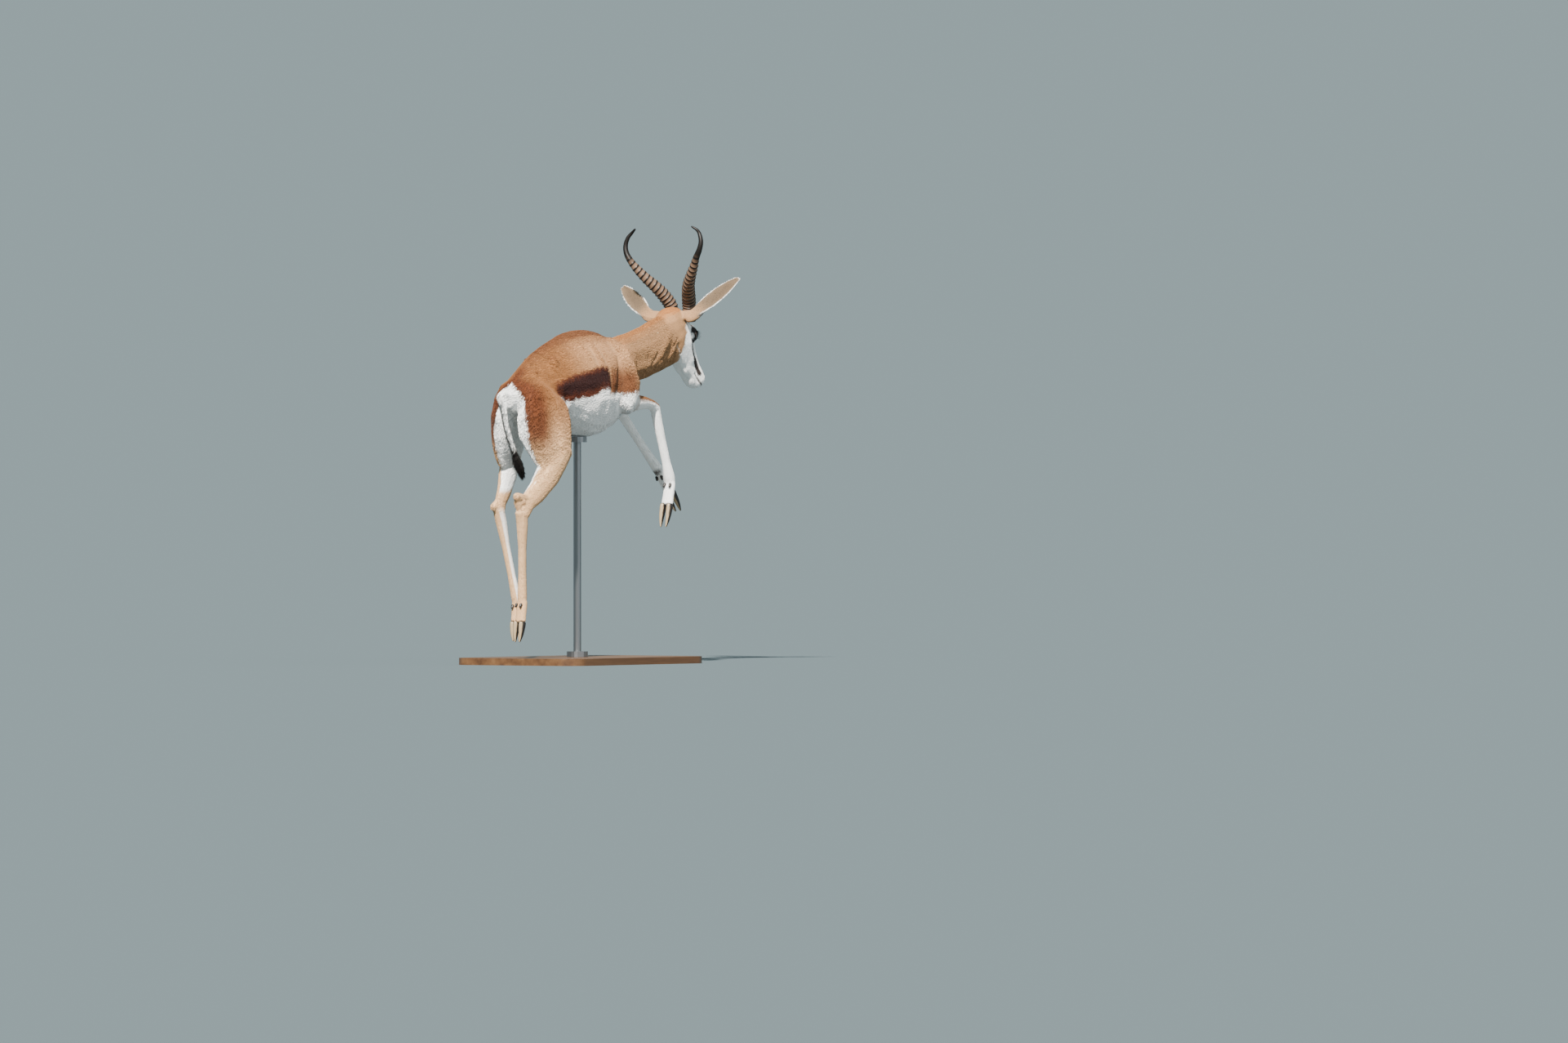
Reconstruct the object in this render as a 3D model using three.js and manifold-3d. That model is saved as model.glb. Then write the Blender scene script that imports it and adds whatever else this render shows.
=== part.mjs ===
// A springbok ram in mid leap, life size, as a still museum model on a plain display stand.
// Millimetres. +X is the way the animal travels, +Y is its left side, +Z is up.
// The origin is the middle of the stand base's underside.
// The animal is laid out in its own frame, whose z is 0 at the lowest hind hoof tip,
// and one group then lifts it onto the stand.

import * as THREE from "three";
import { mergeVertices } from "three/addons/utils/BufferGeometryUtils.js";
import Module from "manifold-3d";

const wasm = await Module();
wasm.setup();

// Driving dimensions
const SEAM = 0.3; // gap between pieces that touch
const HOOF_CLEARANCE = 45; // lowest hoof tip above the stand base
const BASE_LENGTH = 680;
const BASE_WIDTH = 420;
const BASE_THICKNESS = 20;
const BASE_CORNER = 60;
const ROD_RADIUS = 11;
const ROD_X = 28; // where the rod meets the belly, in the animal's frame
const COLLAR_RADIUS = 30;
const COLLAR_HEIGHT = 16;
const SADDLE_RADIUS = 27;
const SADDLE_HEIGHT = 16;
const SADDLE_FOOT = 560; // underside of the saddle, in the animal's frame
const BALANCE_X = 45; // the animal's centre of weight along its own x
const HEAD_PITCH = THREE.MathUtils.degToRad(54); // face line below the horizon
const HEAD_ROLL = THREE.MathUtils.degToRad(3); // crown leans to the left
const HEAD_AT = new THREE.Vector3(540, -5, 904); // middle of the two horn bases
const HIND_TOE_OUT = THREE.MathUtils.degToRad(12);
const EYE_RADIUS = 17;
const EYE_AT = { f: 31, d: -30, l: 38 };
const HORN_LEAN = 0.035; // rise of the right horn and fall of the left one with their spread
const HORN_RINGS = 12;
const HORN_RINGED_PART = 0.68; // share of the horn's length that carries rings
const HORN_RING_DEPTH = 0.1; // share of the radius

const COATS = {
  fawn: { color: 0xcfa67c, roughness: 0.85, metalness: 0 },
  cinnamon: { color: 0xb4763f, roughness: 0.85, metalness: 0 },
  white: { color: 0xf0efea, roughness: 0.85, metalness: 0 },
  ear: { color: 0xb5a08c, roughness: 0.85, metalness: 0 },
  black: { color: 0x1c1613, roughness: 0.8, metalness: 0 },
  horn: { color: 0x3a312a, roughness: 0.55, metalness: 0 },
  hoof: { color: 0x1d1a17, roughness: 0.45, metalness: 0 },
  eye: { color: 0x120c09, roughness: 0.1, metalness: 0 },
  stand: { color: 0x2b2c2e, roughness: 0.45, metalness: 0.6 },
  base: { color: 0x4a3627, roughness: 0.5, metalness: 0 },
};

const LEFT = new THREE.Vector3(0, 1, 0);

// Vectors and frames

const vec = (x, y, z) => new THREE.Vector3(x, y, z);

// The side direction of a leg whose toe is turned out by an angle; side is +1 on the left
function turnedSide(angle, side) {
  return vec(-Math.sin(angle) * side, Math.cos(angle), 0);
}

// A point in the head's own axes: f along the face, d towards the crown, l to the left
const headForward = vec(Math.cos(HEAD_PITCH), 0, -Math.sin(HEAD_PITCH));
const headUp = vec(Math.sin(HEAD_PITCH), 0, Math.cos(HEAD_PITCH));
headUp.applyAxisAngle(headForward, -HEAD_ROLL);
const headLeft = new THREE.Vector3().crossVectors(headUp, headForward);

function onHead(f, d, l) {
  return HEAD_AT.clone()
    .addScaledVector(headForward, f)
    .addScaledVector(headUp, d)
    .addScaledVector(headLeft, l);
}

// Solids

// A closed geometry as a solid: only its positions count, and its faces are turned outwards
function toSolid(geometry) {
  geometry.deleteAttribute("normal");
  geometry.deleteAttribute("uv");
  const merged = mergeVertices(geometry, 1e-4);
  const vertProperties = new Float32Array(merged.attributes.position.array);
  const triVerts = new Uint32Array(merged.index.array);
  if (signedVolume(vertProperties, triVerts) < 0) {
    for (let i = 0; i < triVerts.length; i += 3) {
      [triVerts[i], triVerts[i + 1]] = [triVerts[i + 1], triVerts[i]];
    }
  }
  return new wasm.Manifold(new wasm.Mesh({ numProp: 3, vertProperties, triVerts }));
}

function signedVolume(points, triangles) {
  let sum = 0;
  const corner = (k) => vec(points[3 * k], points[3 * k + 1], points[3 * k + 2]);
  for (let i = 0; i < triangles.length; i += 3) {
    const [a, b, c] = [corner(triangles[i]), corner(triangles[i + 1]), corner(triangles[i + 2])];
    sum += a.dot(b.cross(c)) / 6;
  }
  return sum;
}

function toGeometry(solid) {
  const mesh = solid.getMesh();
  const geometry = new THREE.BufferGeometry();
  geometry.setAttribute("position", new THREE.BufferAttribute(new Float32Array(mesh.vertProperties), 3));
  geometry.setIndex(new THREE.BufferAttribute(new Uint32Array(mesh.triVerts), 1));
  geometry.computeVertexNormals();
  return geometry;
}

// The biggest of the pieces that a cut leaves
function biggest(solid) {
  const pieces = solid.decompose();
  return pieces.reduce((best, piece) => (piece.volume() > best.volume() ? piece : best));
}

function cutBy(solid, ...others) {
  return biggest(others.reduce((rest, other) => rest.subtract(other), solid));
}

// Superellipse power curve that keeps the sign
const rounded = (value, power) => Math.sign(value) * Math.abs(value) ** power;

// A body form drawn along a spine. Each station holds a point, at, and the half sizes of
// its section: side to the left and right, up to the front or crown, down to the back or sole.
// Its crest is the power of the section's upper half: 2 is round and less is a sharper ridge.
// domes holds how far the rounded ends reach past the first and last station.
// A sphere's rows become the sections, so the form is closed at both poles.
function form(stations, options = {}) {
  const { rows, around, domes, square = 2, left = LEFT, cup = 0, grow = 0, ridge } = options;
  const path = new THREE.CatmullRomCurve3(stations.map((s) => s.at.clone()), false, "centripetal");
  const sizes = {};
  for (const key of ["side", "up", "down", "crest"]) {
    const values = stations.map((s, i) => vec(i, s[key] ?? square, 0));
    sizes[key] = new THREE.CatmullRomCurve3(values, false, "centripetal");
  }
  const sphere = new THREE.SphereGeometry(1, around, rows);
  const place = sphere.attributes.position;
  const domeRows = 2;
  for (let i = 0; i < place.count; i += 1) {
    const row = Math.floor(i / (around + 1));
    const angle = ((i % (around + 1)) / around) * 2 * Math.PI;
    const inner = THREE.MathUtils.clamp((row - domeRows) / (rows - 2 * domeRows), 0, 1);
    const fromEnd = Math.min(row, rows - row);
    const lift = fromEnd >= domeRows ? 0 : Math.cos((fromEnd / domeRows) * (Math.PI / 2));
    const shrink = fromEnd >= domeRows ? 1 : Math.sin((fromEnd / domeRows) * (Math.PI / 2));
    const atStart = row < rows / 2;
    const reach = (atStart ? -1 : 1) * lift * (domes[atStart ? 0 : 1] + grow);
    const tangent = path.getTangent(inner);
    const side = left.clone().addScaledVector(tangent, -left.dot(tangent)).normalize();
    const up = new THREE.Vector3().crossVectors(tangent, side);
    const power = angle < Math.PI ? 2 / sizes.crest.getPoint(inner).y : 2 / square;
    const c = rounded(Math.cos(angle), power);
    const s = rounded(Math.sin(angle), power);
    const size = (key) => sizes[key].getPoint(inner).y * (ridge ? ridge(inner) : 1) + grow;
    const tall = s >= 0 ? size("up") : size("down");
    const point = path
      .getPoint(inner)
      .addScaledVector(tangent, reach)
      .addScaledVector(side, c * size("side") * shrink)
      .addScaledVector(up, (s * tall + cup * c * c) * shrink);
    place.setXYZ(i, point.x, point.y, point.z);
  }
  return toSolid(sphere);
}

// A piece is a solid and the same solid grown by the seam, which cuts its neighbours
function pair(stations, options) {
  return { body: form(stations, options), cutter: form(stations, { ...options, grow: SEAM }) };
}

function joined(...pairs) {
  return pairs.reduce((a, b) => ({ body: a.body.add(b.body), cutter: a.cutter.add(b.cutter) }));
}

const station = (at, side, up, down = up, crest = undefined) => ({ at, side, up, down, crest });

// Trunk, neck and head

const trunk = pair(
  [
    station(vec(-326, 0, 690), 34, 18, 38, 1.8),
    station(vec(-285, 0, 694), 50, 46, 56, 1.5),
    station(vec(-235, 0, 702), 66, 72, 68, 1.45),
    station(vec(-170, 0, 714), 76, 102, 82, 1.5),
    station(vec(-100, 0, 724), 86, 121, 110, 1.65),
    station(vec(-30, 0, 728), 96, 142, 141, 1.9),
    station(vec(40, 0, 728), 100, 151, 157, 2),
    station(vec(105, 0, 732), 93, 144, 150, 2),
    station(vec(160, 0, 740), 78, 126, 130, 2),
    station(vec(204, 0, 752), 62, 102, 98, 2),
    station(vec(230, 0, 760), 46, 74, 68, 2),
  ],
  { rows: 20, around: 22, domes: [16, 12], square: 2.15 },
);

const neck = pair(
  [
    station(vec(165, 0, 784), 56, 66, 66),
    station(vec(236, 0, 788), 57, 72, 74),
    station(vec(305, 0, 800), 50, 74, 72),
    station(vec(370, -1, 817), 46, 75, 74),
    station(vec(430, -3, 838), 44, 75, 77),
    station(vec(476, -4, 855), 43, 74, 80),
    station(vec(498, -5, 866), 38, 62, 72),
  ],
  { rows: 11, around: 16, domes: [10, 10], square: 2.1 },
);

function headStation(f, d, side, up, down) {
  return station(onHead(f, d, 0), side, up, down);
}

const skull = [
  headStation(-58, -42, 34, 32, 40),
  headStation(-38, -46, 45, 44, 58),
  headStation(0, -50, 49, 50, 64),
  headStation(36, -52, 47, 47, 58),
  headStation(72, -52, 38, 40, 50),
  headStation(108, -51, 32, 34, 41),
  headStation(142, -48, 29, 28, 31),
  headStation(170, -46, 30, 27, 29),
  headStation(187, -46, 25, 21, 23),
];
const headOptions = { rows: 15, around: 14, domes: [10, 10], square: 2.25, left: headLeft };

function ball(centre, radii, around, rows) {
  const sphere = new THREE.SphereGeometry(1, around, rows);
  sphere.scale(...radii);
  sphere.rotateX(Math.PI / 2);
  const turn = new THREE.Matrix4().makeBasis(headForward, headLeft.clone().negate(), headUp);
  sphere.applyMatrix4(turn.setPosition(centre));
  return toSolid(sphere);
}

const eyePlace = (side) => onHead(EYE_AT.f, EYE_AT.d, EYE_AT.l * side);
const browPlace = (side) => onHead(EYE_AT.f - 2, EYE_AT.d + 4, (EYE_AT.l - 5) * side);

function ballPair(centre, radii, around, rows) {
  const grown = radii.map((radius) => radius + SEAM);
  return { body: ball(centre, radii, around, rows), cutter: ball(centre, grown, around, rows) };
}

const brow = (side) => ballPair(browPlace(side), [27, 20, 21], 10, 6);
const eye = (side) => ballPair(eyePlace(side), [EYE_RADIUS, EYE_RADIUS, EYE_RADIUS], 12, 8);
const headWhole = joined(pair(skull, headOptions), brow(1), brow(-1));

// Horns: a lyre that leans back, spreads and hooks inwards

function hornRidge(t) {
  if (t > HORN_RINGED_PART) {
    return 1;
  }
  const turn = (t / HORN_RINGED_PART) * HORN_RINGS;
  const fade = Math.min(1, 2 * (1 - t / HORN_RINGED_PART) + 0.25);
  return 1 + HORN_RING_DEPTH * fade * (Math.abs(2 * (turn - Math.floor(turn)) - 1) - 0.5);
}

function hornStations(side) {
  const spine = [
    [541, 27, 900, 17.5],
    [535, 31, 944, 17.5],
    [516, 42, 975, 17],
    [495, 56, 1000, 15.5],
    [476, 76, 1025, 13.5],
    [461, 97, 1052, 11],
    [450, 113, 1077, 8.5],
    [448, 125, 1099, 7],
    [450, 129, 1121, 6],
    [453, 123, 1142, 5],
    [456, 111, 1156, 3.8],
    [450, 95, 1167, 2.2],
  ];
  const lean = -HORN_LEAN * side;
  return spine.map(([x, y, z, r]) => station(vec(x, HEAD_AT.y + y * side, z + lean * y), r, r));
}

const horn = (side) =>
  pair(hornStations(side), { rows: 38, around: 7, domes: [6, 8], ridge: hornRidge, left: vec(1, 0, 0) });

// Ears: cupped leaves whose backs look to the rear

const EARS = {
  left: { side: 1, bend: vec(489, 71, 917), reach: vec(60, 131, 81), opening: vec(0.9, 0.4, -0.2) },
  right: { side: -1, bend: vec(495, -79, 918), reach: vec(73, -109, 104), opening: vec(0.9, -0.05, -0.3) },
};

// The root leaves the skull sideways, and the leaf rises from the bend
function ear({ side, bend, reach, opening }) {
  const across = new THREE.Vector3().crossVectors(opening, reach).normalize();
  const along = (share) => bend.clone().addScaledVector(reach, share);
  const stations = [
    station(onHead(-36, -32, 34 * side), 14, 13),
    station(along(0), 14, 10),
    station(along(0.18), 20, 6),
    station(along(0.38), 25, 4),
    station(along(0.6), 24, 3.4),
    station(along(0.8), 17.5, 2.9),
    station(along(0.94), 9.5, 2.4),
  ];
  return pair(stations, { rows: 12, around: 10, domes: [4, 10], left: across, cup: -7 });
}

// Tail, hanging between the hind legs

const tail = pair(
  [
    station(vec(-322, 0, 706), 14, 12),
    station(vec(-337, -1, 676), 11, 8),
    station(vec(-333, -1, 630), 8.5, 6.5),
    station(vec(-311, -2, 575), 7, 6),
    station(vec(-284, -3, 528), 6.5, 5.5),
  ],
  { rows: 9, around: 8, domes: [5, 2] },
);

const tailTuft = pair(
  [
    station(vec(-282, -3, 524), 9, 7),
    station(vec(-268, -3, 500), 13, 10),
    station(vec(-252, -3, 474), 8, 7),
  ],
  { rows: 7, around: 8, domes: [2, 14] },
);

// Hind legs, whose knee and hock heights differ a little between the two sides

const HIND = {
  left: {
    side: 1,
    thigh: [
      station(vec(-228, 38, 722), 24, 50, 30),
      station(vec(-236, 46, 700), 34, 72, 48),
      station(vec(-236, 54, 660), 40, 90, 86),
      station(vec(-215, 61, 612), 43, 96, 106),
      station(vec(-196, 74, 566), 38, 76, 100),
      station(vec(-180, 79, 534), 31, 52, 92),
    ],
    shank: [
      station(vec(-172, 82, 548), 28, 40, 54),
      station(vec(-196, 78, 500), 27, 38, 50),
      station(vec(-222, 70, 442), 21, 31, 37),
      station(vec(-262, 60, 398), 15, 22, 30),
      station(vec(-278, 56, 364), 15, 19, 24),
    ],
    heel: [vec(-262, 60, 402), vec(-302, 58, 378)],
    cannon: [
      station(vec(-279, 56, 372), 16, 19, 22),
      station(vec(-272, 53, 338), 16, 17, 18),
      station(vec(-262, 44, 270), 12, 12, 13),
      station(vec(-250, 33, 190), 11.5, 12, 13),
      station(vec(-240, 25, 128), 14, 13, 15),
      station(vec(-237, 22, 106), 14, 12, 14),
    ],
    fetlock: vec(-237, 22, 108),
    toe: vec(-250, 15, 2),
  },
  right: {
    side: -1,
    thigh: [
      station(vec(-228, -38, 722), 24, 50, 30),
      station(vec(-236, -46, 700), 34, 72, 48),
      station(vec(-236, -54, 660), 40, 90, 86),
      station(vec(-215, -61, 612), 43, 96, 106),
      station(vec(-196, -74, 566), 38, 70, 100),
      station(vec(-180, -82, 534), 31, 46, 92),
    ],
    shank: [
      station(vec(-178, -86, 548), 29, 42, 56),
      station(vec(-204, -80, 500), 28, 40, 52),
      station(vec(-240, -69, 438), 22, 33, 44),
      station(vec(-298, -60, 394), 16, 24, 32),
      station(vec(-322, -57, 360), 15, 20, 24),
    ],
    heel: [vec(-300, -60, 404), vec(-356, -57, 410)],
    cannon: [
      station(vec(-326, -56, 366), 16, 19, 24),
      station(vec(-322, -54, 334), 16, 17, 19),
      station(vec(-316, -50, 265), 12, 12, 13),
      station(vec(-310, -46, 190), 11.5, 12, 13),
      station(vec(-306, -43, 130), 14, 13, 15),
      station(vec(-305, -42, 110), 14, 12, 14),
    ],
    fetlock: vec(-305, -42, 113),
    toe: vec(-318, -38, 0),
  },
};

// Fore legs

const FORE = {
  left: {
    side: 1,
    shoulder: [
      station(vec(120, 40, 842), 16, 22, 20),
      station(vec(142, 54, 812), 22, 40, 36),
      station(vec(168, 64, 768), 28, 44, 46),
      station(vec(176, 70, 722), 30, 42, 50),
      station(vec(156, 74, 684), 28, 42, 44),
      station(vec(132, 74, 660), 24, 34, 30),
    ],
    forearm: [
      station(vec(112, 72, 664), 21, 24, 22),
      station(vec(160, 68, 668), 24, 29, 25),
      station(vec(222, 58, 668), 19, 22, 20),
      station(vec(278, 49, 660), 15, 16, 15),
      station(vec(306, 45, 648), 16, 16, 17),
    ],
    cannon: [
      station(vec(305, 45, 654), 16, 15, 16),
      station(vec(320, 40, 628), 15, 14, 16),
      station(vec(354, 28, 582), 12.5, 13, 14),
      station(vec(394, 15, 530), 12, 13, 14),
      station(vec(430, 3, 486), 15, 15, 17),
      station(vec(441, 0, 470), 15, 13, 15),
    ],
    fetlock: vec(440, 0, 474),
    toe: vec(508, -20, 364),
  },
  right: {
    side: -1,
    shoulder: [
      station(vec(120, -40, 842), 16, 22, 20),
      station(vec(142, -54, 812), 22, 40, 36),
      station(vec(170, -65, 768), 28, 44, 46),
      station(vec(180, -72, 722), 30, 42, 50),
      station(vec(164, -77, 684), 28, 42, 46),
      station(vec(144, -78, 658), 24, 34, 32),
    ],
    forearm: [
      station(vec(124, -76, 660), 22, 25, 22),
      station(vec(176, -74, 667), 25, 30, 26),
      station(vec(240, -69, 671), 19, 22, 20),
      station(vec(298, -64, 667), 15, 15, 15),
      station(vec(325, -62, 656), 16, 16, 17),
    ],
    cannon: [
      station(vec(324, -62, 662), 16, 14, 15),
      station(vec(332, -63, 630), 15, 14, 15),
      station(vec(352, -65, 570), 12.5, 13, 14),
      station(vec(372, -68, 505), 12.5, 13, 14),
      station(vec(386, -70, 462), 16, 15, 17),
      station(vec(391, -70, 442), 16, 13, 15),
    ],
    fetlock: vec(390, -70, 446),
    toe: vec(359, -70, 317),
  },
};

// The point of the hock: a heel that stands out behind the joint
function heelBone([front, back]) {
  return pair([station(front, 12, 14), station(back, 10.5, 12)], { rows: 6, around: 8, domes: [6, 9] });
}

// A cloven foot below the fetlock: two digits, two claws and two dewclaws

const DIGIT_SPREAD = 11; // each digit's distance from the foot's middle line
const CLAW_START = 0.5; // share of the way from fetlock to toe where the horn begins
const TOE_SPREAD = 9;

function foot(name, fetlock, toe, left) {
  const line = toe.clone().sub(fetlock);
  const axis = line.clone().normalize();
  const side = left.clone().addScaledVector(axis, -left.dot(axis)).normalize();
  const front = new THREE.Vector3().crossVectors(axis, side);
  const at = (share, across, ahead) =>
    fetlock.clone().addScaledVector(line, share).addScaledVector(side, across).addScaledVector(front, ahead);
  const claw = (sign) =>
    pair(
      [
        station(at(CLAW_START, sign * DIGIT_SPREAD, -1), 9, 11, 14),
        station(at(0.64, sign * DIGIT_SPREAD, -2), 9, 10, 12),
        station(at(0.82, sign * (DIGIT_SPREAD + TOE_SPREAD) * 0.55, -3), 6.5, 7.5, 8),
        station(at(0.97, sign * TOE_SPREAD, -4), 2.8, 3, 3),
      ],
      { rows: 7, around: 7, domes: [3, 3], square: 2.3, left },
    );
  const pastern = pair(
    [
      station(at(-0.02, 0, 0), 16, 13, 14),
      station(at(0.14, 0, 0), 17, 12.5, 13),
      station(at(0.3, 0, 0), 17.5, 11, 12),
      station(at(CLAW_START - 0.02, 0, 0), 19, 10, 12),
    ],
    { rows: 7, around: 9, domes: [6, 5], square: 2.2, left },
  );
  const dewclaw = (sign) =>
    pair(
      [station(at(0.06, sign * 9, -12), 5, 5), station(at(0.12, sign * 9.5, -15), 4, 4)],
      { rows: 6, around: 6, domes: [3, 4], left },
    );
  const pieces = {
    [`claw_left_${name}`]: claw(1),
    [`claw_right_${name}`]: claw(-1),
    [`dewclaw_left_${name}`]: dewclaw(1),
    [`dewclaw_right_${name}`]: dewclaw(-1),
  };
  const horny = Object.values(pieces).map((piece) => piece.cutter);
  pieces[`claw_left_${name}`].body = cutBy(claw(1).body, claw(-1).cutter);
  pieces[`pastern_${name}`] = { body: cutBy(pastern.body, ...horny), cutter: pastern.cutter };
  return pieces;
}

// A leg's upper pieces, each cut back from the piece above it and from its foot

const animal = new THREE.Group();
animal.position.set(-BALANCE_X, 0, BASE_THICKNESS + HOOF_CLEARANCE);

function addNode(parent, name, solid, coat) {
  const mesh = new THREE.Mesh(toGeometry(solid), new THREE.MeshStandardMaterial(COATS[coat]));
  mesh.name = name;
  parent.add(mesh);
}

// Adds a foot's nodes and returns the solids that cut the cannon above it
function addFoot(label, leg, left) {
  const pieces = foot(label, leg.fetlock, leg.toe, left);
  for (const [name, piece] of Object.entries(pieces)) {
    addNode(animal, name, piece.body, name.startsWith("pastern") ? "white" : "hoof");
  }
  return Object.values(pieces).map((piece) => piece.cutter);
}

for (const [label, leg] of Object.entries(HIND)) {
  const left = turnedSide(HIND_TOE_OUT, leg.side);
  const thigh = pair(leg.thigh, { rows: 11, around: 16, domes: [14, 30], left });
  const shank = joined(pair(leg.shank, { rows: 9, around: 12, domes: [14, 8], left }), heelBone(leg.heel));
  const cannon = form(leg.cannon, { rows: 9, around: 9, domes: [8, 5], left });
  const footCuts = addFoot(`hind_${label}`, leg, left);
  addNode(animal, `thigh_${label}`, cutBy(thigh.body, trunk.cutter, tail.cutter), "fawn");
  addNode(animal, `shank_${label}`, cutBy(shank.body, thigh.cutter, trunk.cutter), "fawn");
  addNode(animal, `cannon_hind_${label}`, cutBy(cannon, shank.cutter, ...footCuts), "fawn");
}

for (const [label, leg] of Object.entries(FORE)) {
  const shoulder = pair(leg.shoulder, { rows: 11, around: 14, domes: [12, 12] });
  const forearm = pair(leg.forearm, { rows: 9, around: 10, domes: [14, 7] });
  const cannon = form(leg.cannon, { rows: 9, around: 9, domes: [6, 5] });
  const footCuts = addFoot(`fore_${label}`, leg, LEFT);
  addNode(animal, `shoulder_${label}`, cutBy(shoulder.body, trunk.cutter, neck.cutter), "fawn");
  addNode(animal, `forearm_${label}`, cutBy(forearm.body, shoulder.cutter, trunk.cutter), "white");
  addNode(animal, `cannon_fore_${label}`, cutBy(cannon, forearm.cutter, ...footCuts), "white");
}

addNode(animal, "trunk", trunk.body, "cinnamon");
addNode(animal, "tail", cutBy(tail.body, trunk.cutter), "white");
addNode(animal, "tail_tuft", cutBy(tailTuft.body, tail.cutter), "black");

const sides = { left: 1, right: -1 };
const hornCuts = Object.values(sides).map((side) => horn(side).cutter);
const eyeCuts = Object.values(sides).map((side) => eye(side).cutter);
addNode(animal, "head", cutBy(headWhole.body, ...hornCuts, ...eyeCuts), "white");
addNode(animal, "neck", cutBy(neck.body, trunk.cutter, headWhole.cutter, ...hornCuts), "fawn");
for (const [label, side] of Object.entries(sides)) {
  addNode(animal, `ear_${label}`, cutBy(ear(EARS[label]).body, headWhole.cutter, neck.cutter), "ear");
  addNode(animal, `horn_${label}`, horn(side).body, "horn");
  addNode(animal, `eye_${label}`, eye(side).body, "eye");
}

// Display stand: a flat base, a rod to the belly, a collar at its foot and a saddle at its head

const springbok = new THREE.Group();
springbok.add(animal);

function roundedPlate(length, width, corner, thickness) {
  const [a, b] = [length / 2, width / 2];
  const outline = new THREE.Shape();
  outline.moveTo(-a + corner, -b);
  outline.lineTo(a - corner, -b);
  outline.absarc(a - corner, -b + corner, corner, -Math.PI / 2, 0);
  outline.absarc(a - corner, b - corner, corner, 0, Math.PI / 2);
  outline.absarc(-a + corner, b - corner, corner, Math.PI / 2, Math.PI);
  outline.absarc(-a + corner, -b + corner, corner, Math.PI, 1.5 * Math.PI);
  return new THREE.ExtrudeGeometry(outline, { depth: thickness, bevelEnabled: false, curveSegments: 6 });
}

// A disc with a straight wall
function disc(outer, low, high) {
  const profile = [[0, low], [outer, low], [outer, high], [0, high]];
  const turned = new THREE.LatheGeometry(profile.map(([r, z]) => new THREE.Vector2(r, z)), 20);
  return turned.rotateX(Math.PI / 2);
}

const rodX = ROD_X - BALANCE_X;
const bellyBelow = BASE_THICKNESS + HOOF_CLEARANCE + SADDLE_FOOT;
const liftedTrunk = trunk.cutter.translate([-BALANCE_X, 0, BASE_THICKNESS + HOOF_CLEARANCE]);
const standing = (geometry) => toSolid(geometry).translate([rodX, 0, 0]);

const saddle = cutBy(standing(disc(SADDLE_RADIUS, bellyBelow, bellyBelow + SADDLE_HEIGHT)), liftedTrunk);
const rod = standing(disc(ROD_RADIUS, BASE_THICKNESS + SEAM, bellyBelow - SEAM));
const rodHole = standing(disc(ROD_RADIUS + SEAM, 0, bellyBelow));
const collarTop = BASE_THICKNESS + COLLAR_HEIGHT;
const collar = standing(disc(COLLAR_RADIUS, BASE_THICKNESS + SEAM, collarTop)).subtract(rodHole);

const plate = toSolid(roundedPlate(BASE_LENGTH, BASE_WIDTH, BASE_CORNER, BASE_THICKNESS));
addNode(springbok, "stand_base", plate, "base");
addNode(springbok, "stand_rod", rod, "stand");
addNode(springbok, "stand_collar", collar, "stand");
addNode(springbok, "stand_saddle", saddle, "stand");

export default springbok;
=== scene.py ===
"""The springbok model's looks: one skin with its fur coat, eyes, horns, hooves and the display stand."""

import math

import bmesh
import bpy
import numpy as np
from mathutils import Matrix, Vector
from mathutils.bvhtree import BVHTree


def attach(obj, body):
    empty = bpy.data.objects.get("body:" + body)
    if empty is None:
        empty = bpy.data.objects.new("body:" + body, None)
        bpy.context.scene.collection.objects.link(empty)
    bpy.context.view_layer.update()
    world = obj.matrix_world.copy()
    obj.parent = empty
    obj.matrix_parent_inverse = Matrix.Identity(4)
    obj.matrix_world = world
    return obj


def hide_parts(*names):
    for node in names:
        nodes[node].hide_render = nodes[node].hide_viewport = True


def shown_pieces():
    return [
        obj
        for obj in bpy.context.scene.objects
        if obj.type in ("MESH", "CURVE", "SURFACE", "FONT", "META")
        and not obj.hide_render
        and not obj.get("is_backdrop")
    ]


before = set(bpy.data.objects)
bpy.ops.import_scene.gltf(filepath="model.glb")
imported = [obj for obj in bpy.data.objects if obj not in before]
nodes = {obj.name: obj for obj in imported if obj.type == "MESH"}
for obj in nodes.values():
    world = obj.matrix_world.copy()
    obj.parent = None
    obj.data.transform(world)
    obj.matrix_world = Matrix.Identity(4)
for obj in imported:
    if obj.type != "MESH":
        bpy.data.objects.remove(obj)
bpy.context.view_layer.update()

# Sizes, in millimetres in the animal's own axes: x to the head, y to its left, z up
SHIFT = np.array([-45.0, 0.0, 65.0])
MERGE = 2e-5
SEAM_COVER = 0.0006
EAR_COVER = 0.0011
VOXEL = 0.0024
SKIN_TRIANGLES = 185000
HEAD_AT = np.array([540.0, -5.0, 904.0])
HEAD_PITCH = math.radians(54)
HEAD_ROLL = math.radians(3)
EYE_AT = (31.0, -30.0, 38.0)
EYE_RADIUS = 17.0
IRIS_RADIUS = 12.0
PUPIL = (7.5, 4.0)  # half its length and half its height
EARS = {  # where each leaf bends out of the head, how far it reaches, where it opens to
    "left": ((489, 71, 917), (60, 131, 81), (0.9, 0.4, -0.2)),
    "right": ((495, -79, 918), (73, -109, 104), (0.9, -0.05, -0.3)),
}
# Half the width of a leaf against its share of the reach.
EAR_HALF_WIDTHS = (
    (-0.3, 14), (0, 14), (0.18, 20), (0.38, 25),
    (0.6, 24), (0.8, 17.5), (0.94, 9.5), (1.03, 4),
)
random = np.random.default_rng(7)


def unit(v):
    v = np.asarray(v, float)
    return v / np.maximum(np.linalg.norm(v, axis=-1, keepdims=True), 1e-9)


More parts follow.
